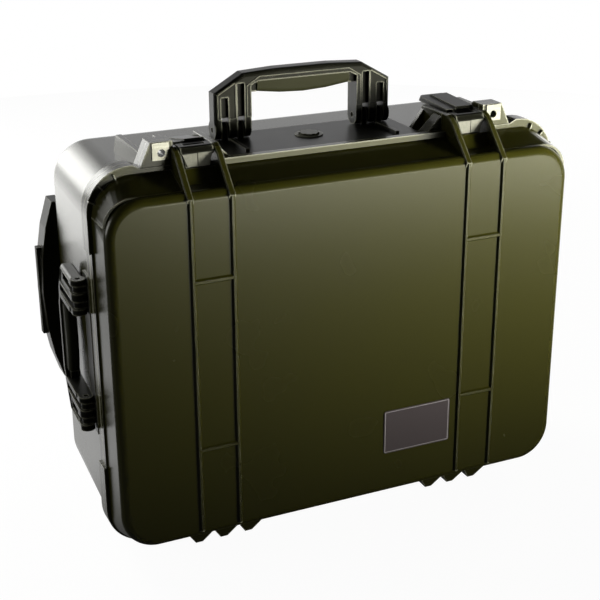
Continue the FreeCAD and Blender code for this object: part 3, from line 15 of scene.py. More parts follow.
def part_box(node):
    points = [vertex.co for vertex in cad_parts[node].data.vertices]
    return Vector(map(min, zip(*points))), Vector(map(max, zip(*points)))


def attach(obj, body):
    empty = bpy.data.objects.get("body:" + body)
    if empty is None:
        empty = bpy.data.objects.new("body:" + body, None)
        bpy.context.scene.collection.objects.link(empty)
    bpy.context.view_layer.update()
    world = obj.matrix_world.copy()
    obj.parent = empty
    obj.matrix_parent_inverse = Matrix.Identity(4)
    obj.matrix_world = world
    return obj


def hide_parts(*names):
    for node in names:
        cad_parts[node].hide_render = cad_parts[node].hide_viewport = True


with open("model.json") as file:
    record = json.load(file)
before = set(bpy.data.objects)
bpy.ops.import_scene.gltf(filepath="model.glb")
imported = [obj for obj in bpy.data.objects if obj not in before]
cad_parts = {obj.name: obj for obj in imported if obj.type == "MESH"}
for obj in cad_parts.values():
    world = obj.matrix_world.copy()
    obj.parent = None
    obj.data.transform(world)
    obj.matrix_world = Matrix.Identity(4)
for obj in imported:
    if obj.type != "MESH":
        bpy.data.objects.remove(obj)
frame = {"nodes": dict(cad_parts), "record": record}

parts = frame["nodes"]
slot_of = {row["node"]: row["material_slot"] for row in frame["record"]["subparts"]}
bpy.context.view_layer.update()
MM = 0.001

# %% [markdown]
# ## The camera
# The photograph looks down at the case from its left front. A long lens of about 77 mm on a 36 mm sensor
# keeps the upright edges nearly parallel. The turn, tilt and distance were worked out from the case's known
# corners.

# %% Camera
LENS_MM, DISTANCE = 76.543, 1.46162
camera_data = bpy.data.cameras.new("camera")
camera_data.sensor_width = 36.0
camera_data.lens = LENS_MM
camera = bpy.data.objects.new("camera", camera_data)
bpy.context.scene.collection.objects.link(camera)
turn, tilt, roll = (math.radians(a) for a in (-24.361, 21.597, -0.292))
back = Vector((math.sin(turn) * math.cos(tilt), -math.cos(turn) * math.cos(tilt), math.sin(tilt)))
aim = Vector((-0.0029, 0.0, 0.2178))
camera.rotation_mode = "QUATERNION"
camera.rotation_quaternion = back.to_track_quat("Z", "Y") @ Quaternion((0, 0, 1), roll)
camera.location = aim + back * DISTANCE
bpy.context.scene.camera = camera
print("camera at", [round(v, 3) for v in camera.location])

# %% [markdown]
# ## Helpers for materials
# Every finish below is a small node tree. One function turns the colour that a designer writes as hex into
# the linear numbers that the shader wants, and one adds a node with its settings and links.

# %% Colour and node helpers
def paint(code):
    """sRGB hex to linear red, green, blue and alpha."""
    shares = [int(code[i:i + 2], 16) / 255 for i in (1, 3, 5)]
    linear = [s / 12.92 if s <= 0.04045 else ((s + 0.055) / 1.055) ** 2.4 for s in shares]
    return (*linear, 1.0)


def add(tree, kind, feeds=None, **settings):
    """Adds a node; feeds maps an input's name or number to a value or to another node's output."""
    node = tree.nodes.new(kind)
    for name, value in settings.items():
        setattr(node, name, value)
    for key, value in (feeds or {}).items():
        if isinstance(value, bpy.types.NodeSocket):
            tree.links.new(value, node.inputs[key])
        else:
            node.inputs[key].default_value = value
    return node


def finish(name):
    """A new material with an emptied tree and the object's own coordinates."""
    made = bpy.data.materials.new(name)
    made.use_nodes = True
    tree = made.node_tree
    tree.nodes.clear()
    place = add(tree, "ShaderNodeTexCoord").outputs["Object"]
    return made, tree, place


def close(tree, shader):
    add(tree, "ShaderNodeOutputMaterial", {"Surface": shader.outputs[0]})


# %% [markdown]
# ## Moulded polypropylene
# Both shells are injection moulded in structural polypropylene, coloured in the mass. The mould is lightly
# blasted, which leaves a grain of a few tenths of a millimetre and a soft satin sheen. Broad, faint
# differences in gloss come from the way the plastic flowed and cooled. A grain of 0.9 mm is drawn, because
# a finer one would not show in the picture. The outer edges of ribs and rims get a painted highlight: they
# are painted paler, for the light lines that rounded edges catch. An Ambient Occlusion node that looks
# inwards finds such outer edges by itself, because rays sent into the plastic soon come out again there,
# and it leaves hollows alone.

# %% Moulded plastics
# The pale colour of outer edges is a painted highlight.
EDGE_REACH_MM, EDGE_HIGHLIGHT_COLOUR = 2.2, "#A9A894"
GLOSS_DRIFT = 0.008


def moulded_plastic(name, colour, dark, rough, grain_mm, grain_depth_mm, flow_mm, sheen_level,
                    edge_highlight_share=0.0):
    made, tree, place = finish(name)
    grain = add(tree, "ShaderNodeTexNoise", {"Vector": place, "Scale": 1 / (grain_mm * MM), "Detail": 3.0})
    flow = add(tree, "ShaderNodeTexNoise", {"Vector": place, "Scale": 1 / (flow_mm * MM), "Detail": 2.0})
    tint = add(tree, "ShaderNodeMix", {
        0: add(tree, "ShaderNodeMapRange", {0: flow.outputs[0], 1: 0.2, 2: 0.8, 3: 0.1, 4: 0.4}).outputs[0],
        6: paint(colour), 7: paint(dark),
    }, data_type="RGBA")
    gloss = add(tree, "ShaderNodeMapRange", {
        0: flow.outputs[0], 1: 0.2, 2: 0.8, 3: rough - GLOSS_DRIFT, 4: rough + GLOSS_DRIFT,
    })
    dent = add(tree, "ShaderNodeBump", {
        "Height": grain.outputs[0], "Strength": 0.35, "Distance": grain_depth_mm * MM,
    })
    # Painted highlight: outer edges found by inward ambient occlusion are mixed towards the pale colour.
    if edge_highlight_share > 0:
        near_edge = add(tree, "ShaderNodeAmbientOcclusion", {"Distance": EDGE_REACH_MM * MM},
                        inside=True, only_local=True, samples=6)
        edge_highlight = add(tree, "ShaderNodeMapRange", {
            0: near_edge.outputs["AO"], 1: 0.62, 2: 0.85, 3: edge_highlight_share, 4: 0.0,
        })
        tint = add(tree, "ShaderNodeMix", {0: edge_highlight.outputs[0], 6: tint.outputs[2], 7: paint(EDGE_HIGHLIGHT_COLOUR)},
                   data_type="RGBA")
    shader = add(tree, "ShaderNodeBsdfPrincipled", {
        "Base Color": tint.outputs[2], "Roughness": gloss.outputs[0], "Normal": dent.outputs[0],
        "IOR": 1.49, "Specular IOR Level": sheen_level,
    })
    close(tree, shader)
    return made


# The shells' outer edges carry the painted highlight.
olive_polypropylene = moulded_plastic("olive_polypropylene", "#36350E", "#2F2E0B", 0.27, 0.9, 0.06, 70.0, 0.7,
                                      edge_highlight_share=0.85)
print("made", olive_polypropylene.name)

# %% [markdown]
# ## Glass-filled nylon
# Latches, handles and their mounts carry the load, so they are moulded in nylon with short glass fibres,
# coloured nearly black. The fibres make the surface a little mottled and less glossy than the shells.

# %% Nylon and rubber
# The nylon's outer edges carry the painted highlight too.
black_nylon = moulded_plastic("black_nylon", "#191912", "#12120E", 0.36, 0.7, 0.05, 18.0, 0.25,
                              edge_highlight_share=0.6)
grip_elastomer = moulded_plastic("grip_elastomer", "#30301F", "#282818", 0.55, 0.6, 0.05, 25.0, 0.4)
tyre_rubber = moulded_plastic("tyre_rubber", "#1B1B1A", "#121211", 0.6, 1.2, 0.08, 20.0, 0.4)
seal_neoprene = moulded_plastic("seal_neoprene", "#1A1A18", "#121210", 0.7, 0.8, 0.04, 30.0, 0.3)
print("made", black_nylon.name, grip_elastomer.name, tyre_rubber.name, seal_neoprene.name)

# %% [markdown]
# ## Metals
# The padlock plates are pressed from stainless steel sheet, the pins are drawn rod and the telescopic tubes
# are extruded aluminium, anodised after brushing. Brushing and drawing leave fine lines along the piece, so
# the noise that changes the roughness is stretched along X.

# %% Metals
def drawn_metal(name, colour, rough, line_mm, line_length_mm):
    made, tree, place = finish(name)
    stretched = add(tree, "ShaderNodeMapping", {
        "Vector": place, "Scale": (1 / (line_length_mm * MM), 1 / (line_mm * MM), 1 / (line_mm * MM)),
    })
    lines = add(tree, "ShaderNodeTexNoise", {"Vector": stretched.outputs[0], "Scale": 1.0, "Detail": 3.0})
    gloss = add(tree, "ShaderNodeMapRange", {
        0: lines.outputs[0], 1: 0.3, 2: 0.7, 3: rough - 0.06, 4: rough + 0.1,
    })
    shader = add(tree, "ShaderNodeBsdfPrincipled", {
        "Base Color": paint(colour), "Metallic": 1.0, "Roughness": gloss.outputs[0],
    })
    close(tree, shader)
    return made


stainless_steel = drawn_metal("stainless_steel", "#B4B3AE", 0.3, 0.4, 30.0)
anodised_aluminium = drawn_metal("anodised_aluminium", "#B4B5B8", 0.3, 0.5, 60.0)
print("made", stainless_steel.name, anodised_aluminium.name)

# %% [markdown]
# ## Label film, foam and cloth
# The label is a matt film, left bare. Foam is an open mesh of cells about a millimetre across, drawn with a
# Voronoi bump. The sleeve is ballistic nylon: a basket weave whose threads are about 0.8 mm apart, drawn at
# 1.6 mm so that it shows.

# %% Soft finishes
def label_film(name, colour):
    made, tree, place = finish(name)
    speckle = add(tree, "ShaderNodeTexNoise", {"Vector": place, "Scale": 1 / (1.5 * MM), "Detail": 2.0})
    gloss = add(tree, "ShaderNodeMapRange", {0: speckle.outputs[0], 3: 0.38, 4: 0.5})
    close(tree, add(tree, "ShaderNodeBsdfPrincipled", {
        "Base Color": paint(colour), "Roughness": gloss.outputs[0],
    }))
    return made


def cut_foam(name, colour, dark, cell_mm):
    made, tree, place = finish(name)
    cells = add(tree, "ShaderNodeTexVoronoi", {"Vector": place, "Scale": 1 / (cell_mm * MM)})
    shade = add(tree, "ShaderNodeMix", {0: cells.outputs["Distance"], 6: paint(dark), 7: paint(colour)},
                data_type="RGBA")
    dent = add(tree, "ShaderNodeBump", {
        "Height": cells.outputs["Distance"], "Strength": 0.7, "Distance": 0.5 * MM,
    })
    close(tree, add(tree, "ShaderNodeBsdfPrincipled", {
        "Base Color": shade.outputs[2], "Roughness": 0.95, "Normal": dent.outputs[0],
        "Specular IOR Level": 0.2,
    }))
    return made


def woven_nylon(name, colour, dark, thread_mm):
    made, tree, place = finish(name)
    apart = add(tree, "ShaderNodeSeparateXYZ", {0: place})
    turns = math.pi / (thread_mm * MM)
    waves = []
    for axis in (0, 2):
        angle = add(tree, "ShaderNodeMath", {0: apart.outputs[axis], 1: turns}, operation="MULTIPLY")
        waves.append(add(tree, "ShaderNodeMath", {0: angle.outputs[0]}, operation="SINE"))
    weave = add(tree, "ShaderNodeMath", {0: waves[0].outputs[0], 1: waves[1].outputs[0]},
                operation="MULTIPLY")
    share = add(tree, "ShaderNodeMapRange", {0: weave.outputs[0], 1: -1.0, 2: 1.0})
    shade = add(tree, "ShaderNodeMix", {0: share.outputs[0], 6: paint(dark), 7: paint(colour)},
                data_type="RGBA")
    dent = add(tree, "ShaderNodeBump", {"Height": share.outputs[0], "Strength": 0.6, "Distance": 0.3 * MM})
    close(tree, add(tree, "ShaderNodeBsdfPrincipled", {
        "Base Color": shade.outputs[2], "Roughness": 0.75, "Normal": dent.outputs[0],
        "Sheen Weight": 0.3, "Sheen Roughness": 0.4,
    }))
    return made


bare_label = label_film("bare_label", "#4A4244")
charcoal_foam = cut_foam("charcoal_foam", "#34353A", "#1C1D20", 1.4)
sleeve_nylon = woven_nylon("sleeve_nylon", "#2B2C2E", "#17181A", 1.6)
print("made", bare_label.name, charcoal_foam.name, sleeve_nylon.name)

# %% [markdown]
# ## Dress the parts
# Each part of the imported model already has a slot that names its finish, so the new materials go on by
# slot.

# %% Finishes by slot
FINISH_OF = {
    "olive_shell": olive_polypropylene, "black_plastic": black_nylon, "grip_rubber": grip_elastomer,
    "seal_rubber": seal_neoprene, "steel": stainless_steel, "tube_aluminium": anodised_aluminium,
    "label": bare_label, "tyre": tyre_rubber, "foam": charcoal_foam, "sleeve_cloth": sleeve_nylon,
}
for name, part in parts.items():
    part.data.materials.clear()
    part.data.materials.append(FINISH_OF[slot_of[name]])
print("dressed", len(parts), "parts")

# %% [markdown]
# ## The foam lining
# Three pieces of open-cell foam line the case: a flat pad on the back wall, a thick frame cut out round the
# laptop, and an egg-crate sheet in the lid. Cut foam isn't a hard block: its faces belly out a little
# between rounded edges. A box with a bevel would look like plastic, so each solid's mesh is made even with
# a voxel remesh, drawn in by a few millimetres and blown up again as cloth for twenty frames. The swelling
# stops before it reaches the neighbours, because no point may move further than the piece was drawn in. The
# pressure is far stronger than that cap allows: in the back pad and the lid's sheet every point reaches it,
# and in the frame about a third do. So the simulation mostly says which way a point goes, and the cap how
# far. A weaker pressure, left to settle by itself, would be the better way.

# %% How a pad swells
CLOTH_FRAMES = 20


def finished_mesh(piece):
    """The piece's mesh with its modifiers worked in."""
    return bpy.data.meshes.new_from_object(piece.evaluated_get(bpy.context.evaluated_depsgraph_get()))


def new_piece(name, mesh, material):
    made = bpy.data.objects.new(name, mesh)
    bpy.context.scene.collection.objects.link(made)
    mesh.materials.clear()
    mesh.materials.append(material)
    return made


def even_copy(name, node, voxel_mm, material):
    """A solid's mesh with its doubles merged, remeshed into even squares."""
    work = bmesh.new()
    work.from_mesh(parts[node].data)
    bmesh.ops.remove_doubles(work, verts=work.verts, dist=0.01 * MM)
    mesh = bpy.data.meshes.new(name)
    work.to_mesh(mesh)
    work.free()
    made = new_piece(name, mesh, material)
    even = made.modifiers.new("even", "REMESH")
    even.mode = "VOXEL"
    even.voxel_size = voxel_mm * MM
    remeshed = finished_mesh(made)
    made.modifiers.clear()
    made.data = remeshed
    return made


def read_points(mesh, field="co"):
    flat = np.empty(len(mesh.vertices) * 3, np.float32)
    mesh.vertices.foreach_get(field, flat)
    return flat.reshape(-1, 3)


def write_points(mesh, points):
    mesh.vertices.foreach_set("co", points.astype(np.float32).ravel())
    mesh.update()


def swell(piece, inset_mm, pressure, cap_mm):
    """Draws a piece in, blows it up as cloth and holds each point within the cap."""
    start = read_points(piece.data) - read_points(piece.data, "normal") * inset_mm * MM
    write_points(piece.data, start)
    cloth = piece.modifiers.new("cloth", "CLOTH")
    cloth.settings.use_pressure = True
    cloth.settings.uniform_pressure_force = pressure
    cloth.settings.effector_weights.gravity = 0.0
    cloth.settings.quality = 3
    cloth.point_cache.frame_end = CLOTH_FRAMES
    for number in range(1, CLOTH_FRAMES + 1):
        bpy.context.scene.frame_set(number)
    moved = read_points(finished_mesh(piece)) - start
    piece.modifiers.clear()
    bpy.context.scene.frame_set(1)
    length = np.maximum(np.linalg.norm(moved, axis=1, keepdims=True), 1e-9)
    write_points(piece.data, start + moved * np.minimum(1.0, cap_mm * MM / length))
    print(piece.name, "swelled by up to", round(float(length.max()) / MM, 1), "mm before the cap")


def smooth_soft(piece):
    """Round shading and one subdivision, the same in the viewport and in the render."""
    piece.data.polygons.foreach_set("use_smooth", [True] * len(piece.data.polygons))
    finer = piece.modifiers.new("finer", "SUBSURF")
    finer.levels = finer.render_levels = 1


# %% Back pad and cut frame
PAD_VOXEL_MM = 7.0
for node in ("floor_pad", "frame_pad"):
    pad = even_copy("soft_" + node, node, PAD_VOXEL_MM, charcoal_foam)
    swell(pad, inset_mm=3.0, pressure=4.0, cap_mm=2.8)
    smooth_soft(pad)
    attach(pad, "base")
    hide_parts(node)
    print("made", pad.name, len(pad.data.polygons), "faces")

# %% [markdown]
# The sheet in the lid is convoluted foam: a cutter squeezed between two knobbed rollers leaves rows of
# rounded peaks and hollows, here 34 mm apart and 12 mm deep. The pattern is two crossed sine waves pressed
# into the face that looks at the laptop. A border of 12 mm stays flat, where the sheet is glued in.

# %% Egg-crate sheet in the lid
CRATE_VOXEL_MM = 5.0
PEAK_APART, HOLLOW_DEEP, BORDER = 34 * MM, 12 * MM, 12 * MM
egg_crate = even_copy("soft_lid_foam", "lid_foam", CRATE_VOXEL_MM, charcoal_foam)
swell(egg_crate, inset_mm=1.5, pressure=2.0, cap_mm=1.3)
low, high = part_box("lid_foam")
points = read_points(egg_crate.data)
facing = read_points(egg_crate.data, "normal")[:, 1] > 0.6
from_left, from_foot = points[:, 0] - low.x, points[:, 2] - low.z
edge = np.minimum.reduce([from_left, high.x - points[:, 0], from_foot, high.z - points[:, 2]])
inside = np.clip((edge - BORDER) / BORDER, 0.0, 1.0)
waves = np.sin(math.pi * from_left / PEAK_APART) * np.sin(math.pi * from_foot / PEAK_APART)
points[:, 1] -= np.where(facing, (0.5 - 0.5 * waves) * HOLLOW_DEEP * inside, 0.0)
write_points(egg_crate.data, points)
smooth_soft(egg_crate)
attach(egg_crate, "lid")
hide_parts("lid_foam")
print("made", egg_crate.name, len(egg_crate.data.polygons), "faces")

# %% [markdown]
# ## The laptop sleeve
# The sleeve is a bag of ballistic nylon over thin foam, sewn from one wrapped panel and open at the top. It
# starts as a rounded rectangle drawn up from a closed bottom, in rows of 7 mm, so that cloth can move every
# row. Pressure pushes the sides out, and nearly every point stops at its cap of 2.3 mm, so the sides stand
# out evenly rather than in a belly. Solidify then gives the padded wall its 5 mm. Sewn channels come last,
# because the simulation would pull them flat.

# %% Sleeve panel
low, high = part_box("laptop_sleeve")
WALL = 5 * MM
ROW = 7 * MM
half_x, half_y = (high.x - low.x) / 2 - WALL, (high.y - low.y) / 2 - WALL
centre = (low + high) / 2
work = bmesh.new()
bmesh.ops.create_grid(work, x_segments=round(2 * half_x / ROW), y_segments=round(2 * half_y / ROW), size=1.0)
for point in work.verts:
    flat_x, flat_y = point.co.x, point.co.y
    point.co = (flat_x * half_x + centre.x, flat_y * half_y + centre.y, low.z + WALL)
rim = [e for e in work.edges if e.is_boundary]
panel_high = high.z - low.z - 2 * WALL
rows = round(panel_high / ROW)
for _ in range(rows):
    raised = bmesh.ops.extrude_edge_only(work, edges=rim)["geom"]
    rim = [g for g in raised if isinstance(g, bmesh.types.BMEdge)]
    bmesh.ops.translate(work, verts=[g for g in raised if isinstance(g, bmesh.types.BMVert)],
                        vec=(0, 0, panel_high / rows))
bmesh.ops.recalc_face_normals(work, faces=work.faces)
mesh = bpy.data.meshes.new("laptop_sleeve_cloth")
work.to_mesh(mesh)
work.free()
sleeve = new_piece("soft_laptop_sleeve", mesh, sleeve_nylon)
print("sleeve panel", len(mesh.polygons), "faces in", rows, "rows")

# %% Rounded corners, swelling and sewn channels
ROUND = 15 * MM
CHANNEL_APART, CHANNEL_WIDE, CHANNEL_DEEP = 49 * MM, 5 * MM, 1.6 * MM
points = read_points(sleeve.data)
across = points[:, :2] - np.array(centre.xy)
limits = np.array((half_x - ROUND, half_y - ROUND))
past = np.column_stack((
    np.maximum(np.abs(across) - limits, 0.0),
    np.maximum(low.z + WALL + ROUND - points[:, 2], 0.0),
))
largest_part = past.max(axis=1, keepdims=True)
length = np.maximum(np.linalg.norm(past, axis=1, keepdims=True), 1e-9)
drawn = past * (largest_part / length) - past
points[:, :2] += drawn[:, :2] * np.sign(across)
points[:, 2] -= drawn[:, 2]
write_points(sleeve.data, points)
swell(sleeve, inset_mm=0.0, pressure=1.5, cap_mm=2.3)
points = read_points(sleeve.data)
out = read_points(sleeve.data, "normal")
away = np.abs((points[:, 0] - centre.x + CHANNEL_APART / 2) % CHANNEL_APART - CHANNEL_APART / 2)
broad = np.abs(out[:, 1:2]) > 0.8
sunk = CHANNEL_DEEP * np.exp(-(away / CHANNEL_WIDE)[:, None] ** 2)
write_points(sleeve.data, points - out * broad * sunk)
padding = sleeve.modifiers.new("padding", "SOLIDIFY")
padding.thickness = WALL
padding.offset = 0.0
smooth_soft(sleeve)
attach(sleeve, "base")
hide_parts("laptop_sleeve")
print("made", sleeve.name)

# %% [markdown]
# A woven tape is sewn round the mouth of the sleeve, so the cut edge of the nylon doesn't fray. A closed
# curve with a round bevel follows the mouth.

# %% Bound mouth
def rounded_loop(half_wide, half_deep, radius, steps=6):
    """Points of a rounded rectangle round the origin, in order."""
    loop = []
    for turn, (sign_x, sign_y) in enumerate(((1, 1), (-1, 1), (-1, -1), (1, -1))):
        for step in range(steps + 1):
            angle = math.radians(90 * (turn + step / steps))
            loop.append((sign_x * (half_wide - radius) + radius * math.cos(angle),
                         sign_y * (half_deep - radius) + radius * math.sin(angle)))
    return loop


TAPE_RADIUS, TAPE_DROP = 3.4 * MM, 0.4 * MM
mouth = bpy.data.curves.new("sleeve_binding", "CURVE")
mouth.dimensions = "3D"
mouth.bevel_depth = TAPE_RADIUS
line = mouth.splines.new("POLY")
loop = rounded_loop(half_x, half_y, ROUND)
line.points.add(len(loop) - 1)
for point, (x, y) in zip(line.points, loop):
    point.co = (x + centre.x, y + centre.y, high.z - WALL - TAPE_DROP, 1.0)
line.use_cyclic_u = True
mouth.materials.append(sleeve_nylon)
binding = bpy.data.objects.new("soft_sleeve_binding", mouth)
bpy.context.scene.collection.objects.link(binding)
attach(binding, "base")
print("made", binding.name)

# %% [markdown]
# ## Brows on the lid's upper corners
# Beyond the outer guard fins the lid rises in a sloping brow, which meets the step at the mouth and runs
# round both upper corners. Short ribs stand across it. A spin of one point gives each edge of the brow, a
# bridge between the two edges gives the slope, and Solidify sinks a wall into the lid below it, so no gap
# shows.

# %% Brow from two swept edges
FAR_FIN, ARC_STEPS, ARC_DEGREES = 0.1797, 10, 84
BROW_WALL = 2.5 * MM
SIDES = (("right", False), ("left", True))
SLOPE_FOOT = {"y": -0.121, "x": 0.2327, "z": 0.3735, "radius": 0.0291, "wide": 1.0}
SLOPE_TOP = {"y": -0.0863, "x": 0.2224, "z": 0.3733, "radius": 0.0427, "wide": 0.95}


def swept_edge(work, line):
    """One edge of the brow: straight from the fin, then a quarter turn round the corner."""
    start = work.verts.new((FAR_FIN, line["y"], line["z"] + line["radius"]))
    drawn = bmesh.ops.extrude_vert_indiv(work, verts=[start])["verts"]
    bmesh.ops.translate(work, verts=drawn, vec=(line["x"] - FAR_FIN, 0, 0))
    before = set(work.verts)
    bmesh.ops.spin(work, geom=drawn, cent=(line["x"], line["y"], line["z"]), axis=(0, 1, 0),
                   angle=math.radians(ARC_DEGREES), steps=ARC_STEPS)
    swept = [v for v in work.verts if v not in before]
    bmesh.ops.scale(work, verts=swept, vec=(line["wide"], 1, 1), space=Matrix.Translation((-line["x"], 0, 0)))


def mirrored_copy(work):
    """Turns a bmesh to the other side of the case, with its faces outwards again."""
    bmesh.ops.scale(work, verts=work.verts, vec=(-1, 1, 1))
    bmesh.ops.recalc_face_normals(work, faces=work.faces)


def piece_from(work, name, material, body):
    mesh = bpy.data.meshes.new(name)
    work.to_mesh(mesh)
    work.free()
    made = new_piece(name, mesh, material)
    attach(made, body)
    print("made", name, len(mesh.polygons), "faces")
    return made


for side, mirrored in SIDES:
    work = bmesh.new()
    swept_edge(work, SLOPE_FOOT)
    swept_edge(work, SLOPE_TOP)
    bmesh.ops.bridge_loops(work, edges=work.edges)
    bmesh.ops.recalc_face_normals(work, faces=work.faces)
    if work.faces[:][0].normal.z < 0:
        bmesh.ops.reverse_faces(work, faces=work.faces)
    bmesh.ops.solidify(work, geom=work.faces, thickness=BROW_WALL)
    bmesh.ops.recalc_face_normals(work, faces=work.faces)
    if mirrored:
        mirrored_copy(work)
    piece_from(work, "corner_brow_" + side, olive_polypropylene, "lid")

# %% Ribs across each brow
RIB_ANGLES = (20, 42, 64)
RIB_SIZE = (1.5 * MM, 5 * MM, 10 * MM)
RIB_PLACE = (0, -0.0868, 0.0425)
corner = Matrix.Translation((SLOPE_TOP["x"], 0, SLOPE_TOP["z"]))
for side, mirrored in SIDES:
    work = bmesh.new()
    for angle in RIB_ANGLES:
        lean = corner @ Matrix.Rotation(math.radians(angle), 4, "Y")
        bar = bmesh.ops.create_cube(work, size=1.0)["verts"]
        bmesh.ops.scale(work, verts=bar, vec=RIB_SIZE)
        bmesh.ops.translate(work, verts=bar, vec=RIB_PLACE)
        bmesh.ops.transform(work, verts=bar, matrix=lean)
    bmesh.ops.bevel(work, geom=work.edges, offset=0.4 * MM, affect="EDGES", segments=2, profile=0.5,
                    material=-1)
    if mirrored:
        mirrored_copy(work)
    piece_from(work, "brow_ribs_" + side, olive_polypropylene, "lid")

# %% [markdown]
# ## Faces of the latch hooks
# The lower front of each hook is a pad painted light grey, a painted reflection of the light that this
# tilted face mirrors, so it is lighter than the rest of the hook. A seam from the mould runs down its
# middle. Each half is one face pulled in at the foot, given a thickness and a small bevel.

# %% Hook pads with a painted reflection
PAD_TOP, PAD_FOOT = 17.4 * MM, 4.0 * MM
HALF_AT_TOP, HALF_AT_FOOT, SEAM_HALF = 16.4 * MM, 10.6 * MM, 0.45 * MM
PAD_THICK, PAD_PROUD = 0.8 * MM, 0.4 * MM
# Painted reflection: the pad's light grey stands in for light that the hook's tilted face mirrors.
reflection_painted_nylon = moulded_plastic("reflection_painted_nylon", "#9A998A", "#3A392E", 0.45, 2.2, 0.2, 2.6, 0.4)
for side in ("left", "right"):
    low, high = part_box("latch_hook_" + side)
    middle = (low.x + high.x) / 2
    work = bmesh.new()
    for sign in (-1, 1):
        half = bmesh.ops.create_grid(work, x_segments=1, y_segments=1, size=0.5)["verts"]
        for point in half:
            half_wide, level = (HALF_AT_TOP, PAD_TOP) if point.co.y > 0 else (HALF_AT_FOOT, PAD_FOOT)
            reach = half_wide if point.co.x > 0 else SEAM_HALF
            point.co = (middle + sign * reach, low.y, low.z + level)
    bmesh.ops.recalc_face_normals(work, faces=work.faces)
    bmesh.ops.solidify(work, geom=work.faces, thickness=PAD_THICK)
    mean_y = sum(v.co.y for v in work.verts) / len(work.verts)
    bmesh.ops.translate(work, verts=work.verts, vec=(0, low.y - PAD_PROUD - mean_y, 0))
    bmesh.ops.bevel(work, geom=work.edges, offset=0.2 * MM, affect="EDGES", segments=1, profile=0.5,
                    material=-1)
    bmesh.ops.recalc_face_normals(work, faces=work.faces)
    piece_from(work, "hook_pad_" + side, reflection_painted_nylon, side + "_hook")

# %% [markdown]
# ## Border of the label
# The bare label has a fine raised border. An inset of one face leaves a ring when the inner face is
# removed.

# %% Label border
BORDER_SHORTER, BORDER_WIDE, BORDER_THICK, BORDER_PROUD = 2.2 * MM, 0.8 * MM, 0.3 * MM, 0.05 * MM
low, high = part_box("label_plate")
middle_x, middle_z = (low.x + high.x) / 2, (low.z + high.z) / 2
silver_border = label_film("silver_border", "#A9A3A2")
work = bmesh.new()
bmesh.ops.create_grid(work, x_segments=1, y_segments=1, size=0.5)
upright = Matrix.Rotation(math.radians(90), 4, "X")
sized = Matrix.Diagonal((high.x - low.x - BORDER_SHORTER, high.z - low.z - BORDER_SHORTER, 1, 1))
placed = Matrix.Translation((middle_x, low.y - BORDER_PROUD, middle_z)) @ upright @ sized
bmesh.ops.transform(work, verts=work.verts, matrix=placed)
bmesh.ops.inset_region(work, faces=work.faces, thickness=BORDER_WIDE, use_even_offset=True,
                       use_boundary=True)
inner = min(work.faces, key=lambda f: max(abs(v.co.x - middle_x) for v in f.verts))
bmesh.ops.delete(work, geom=[inner], context="FACES_ONLY")
bmesh.ops.recalc_face_normals(work, faces=work.faces)
bmesh.ops.solidify(work, geom=work.faces, thickness=BORDER_THICK)
bmesh.ops.recalc_face_normals(work, faces=work.faces)
piece_from(work, "label_border", silver_border, "lid")
print("label from", [round(v, 4) for v in low], "to", [round(v, 4) for v in high])

# %% [markdown]
# ## The cover over the tubes
# A nylon cover hides the telescopic tubes at the back. Long shallow ribs stiffen it, and six screws with a
# round recess hold it. A screw is a short cylinder whose top face is inset and pushed in.

# %% Ribs and screws of the cover
RIB_PITCH, RIB_SHORTER, RIB_HIGH, RIB_WIDE = 26 * MM, 60 * MM, 1.6 * MM, 2.6 * MM
low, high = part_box("tube_cover")
middle_x, middle_z = (low.x + high.x) / 2, (low.z + high.z) / 2
work = bmesh.new()
for number in range(-2, 3):
    strip = bmesh.ops.create_cube(work, size=1.0)["verts"]
    bmesh.ops.scale(work, verts=strip, vec=(high.x - low.x - RIB_SHORTER, RIB_HIGH, RIB_WIDE))
    bmesh.ops.translate(work, verts=strip, vec=(middle_x, high.y, middle_z + number * RIB_PITCH))
bmesh.ops.bevel(work, geom=work.edges, offset=0.6 * MM, affect="EDGES", segments=2, profile=0.5,
                material=-1)
piece_from(work, "cover_ribs", black_nylon, "base")

SCREW_IN_X, SCREW_IN_Z, SCREW_PROUD = 14 * MM, 13 * MM, 0.3 * MM
RECESS_RIM, RECESS_DEEP = 1.8 * MM, 0.7 * MM
work = bmesh.new()
for x in (low.x + SCREW_IN_X, middle_x, high.x - SCREW_IN_X):
    for z in (low.z + SCREW_IN_Z, high.z - SCREW_IN_Z):
        head = bmesh.ops.create_cone(work, cap_ends=True, segments=24, radius1=4 * MM, radius2=3.6 * MM,
                                     depth=1.6 * MM)["verts"]
        top = max({face for v in head for face in v.link_faces}, key=lambda f: f.calc_center_median().z)
        bmesh.ops.inset_region(work, faces=[top], thickness=RECESS_RIM)
        bmesh.ops.translate(work, verts=top.verts, vec=(0, 0, -RECESS_DEEP))
        whole = {v for face in top.edges for f in face.link_faces for v in f.verts} | set(head)
        bmesh.ops.rotate(work, verts=list(whole), matrix=Matrix.Rotation(math.radians(-90), 3, "X"))
        bmesh.ops.translate(work, verts=list(whole), vec=(x, high.y + SCREW_PROUD, z))
piece_from(work, "cover_screws", stainless_steel, "base")

# %% [markdown]
# ## Floor and room
# The case stands on a sheet of white paper. Camera and transmission rays see the paper as white, and the
# paper is also a plain diffuse surface, so it keeps the soft shadow of the case. Glossy rays see it lit
# behind the case and dark in front of it and far to its left, as in a studio where only the sweep behind
# the object is lit, and this gives the satin plastic its dark and light sides. The world repeats the same
# room above the paper.

# %% Where the room is lit
LIT_FROM, LIT_FULL = -0.12, 0.15
LEFT_SLANT = 0.36
UNLIT = 0.004


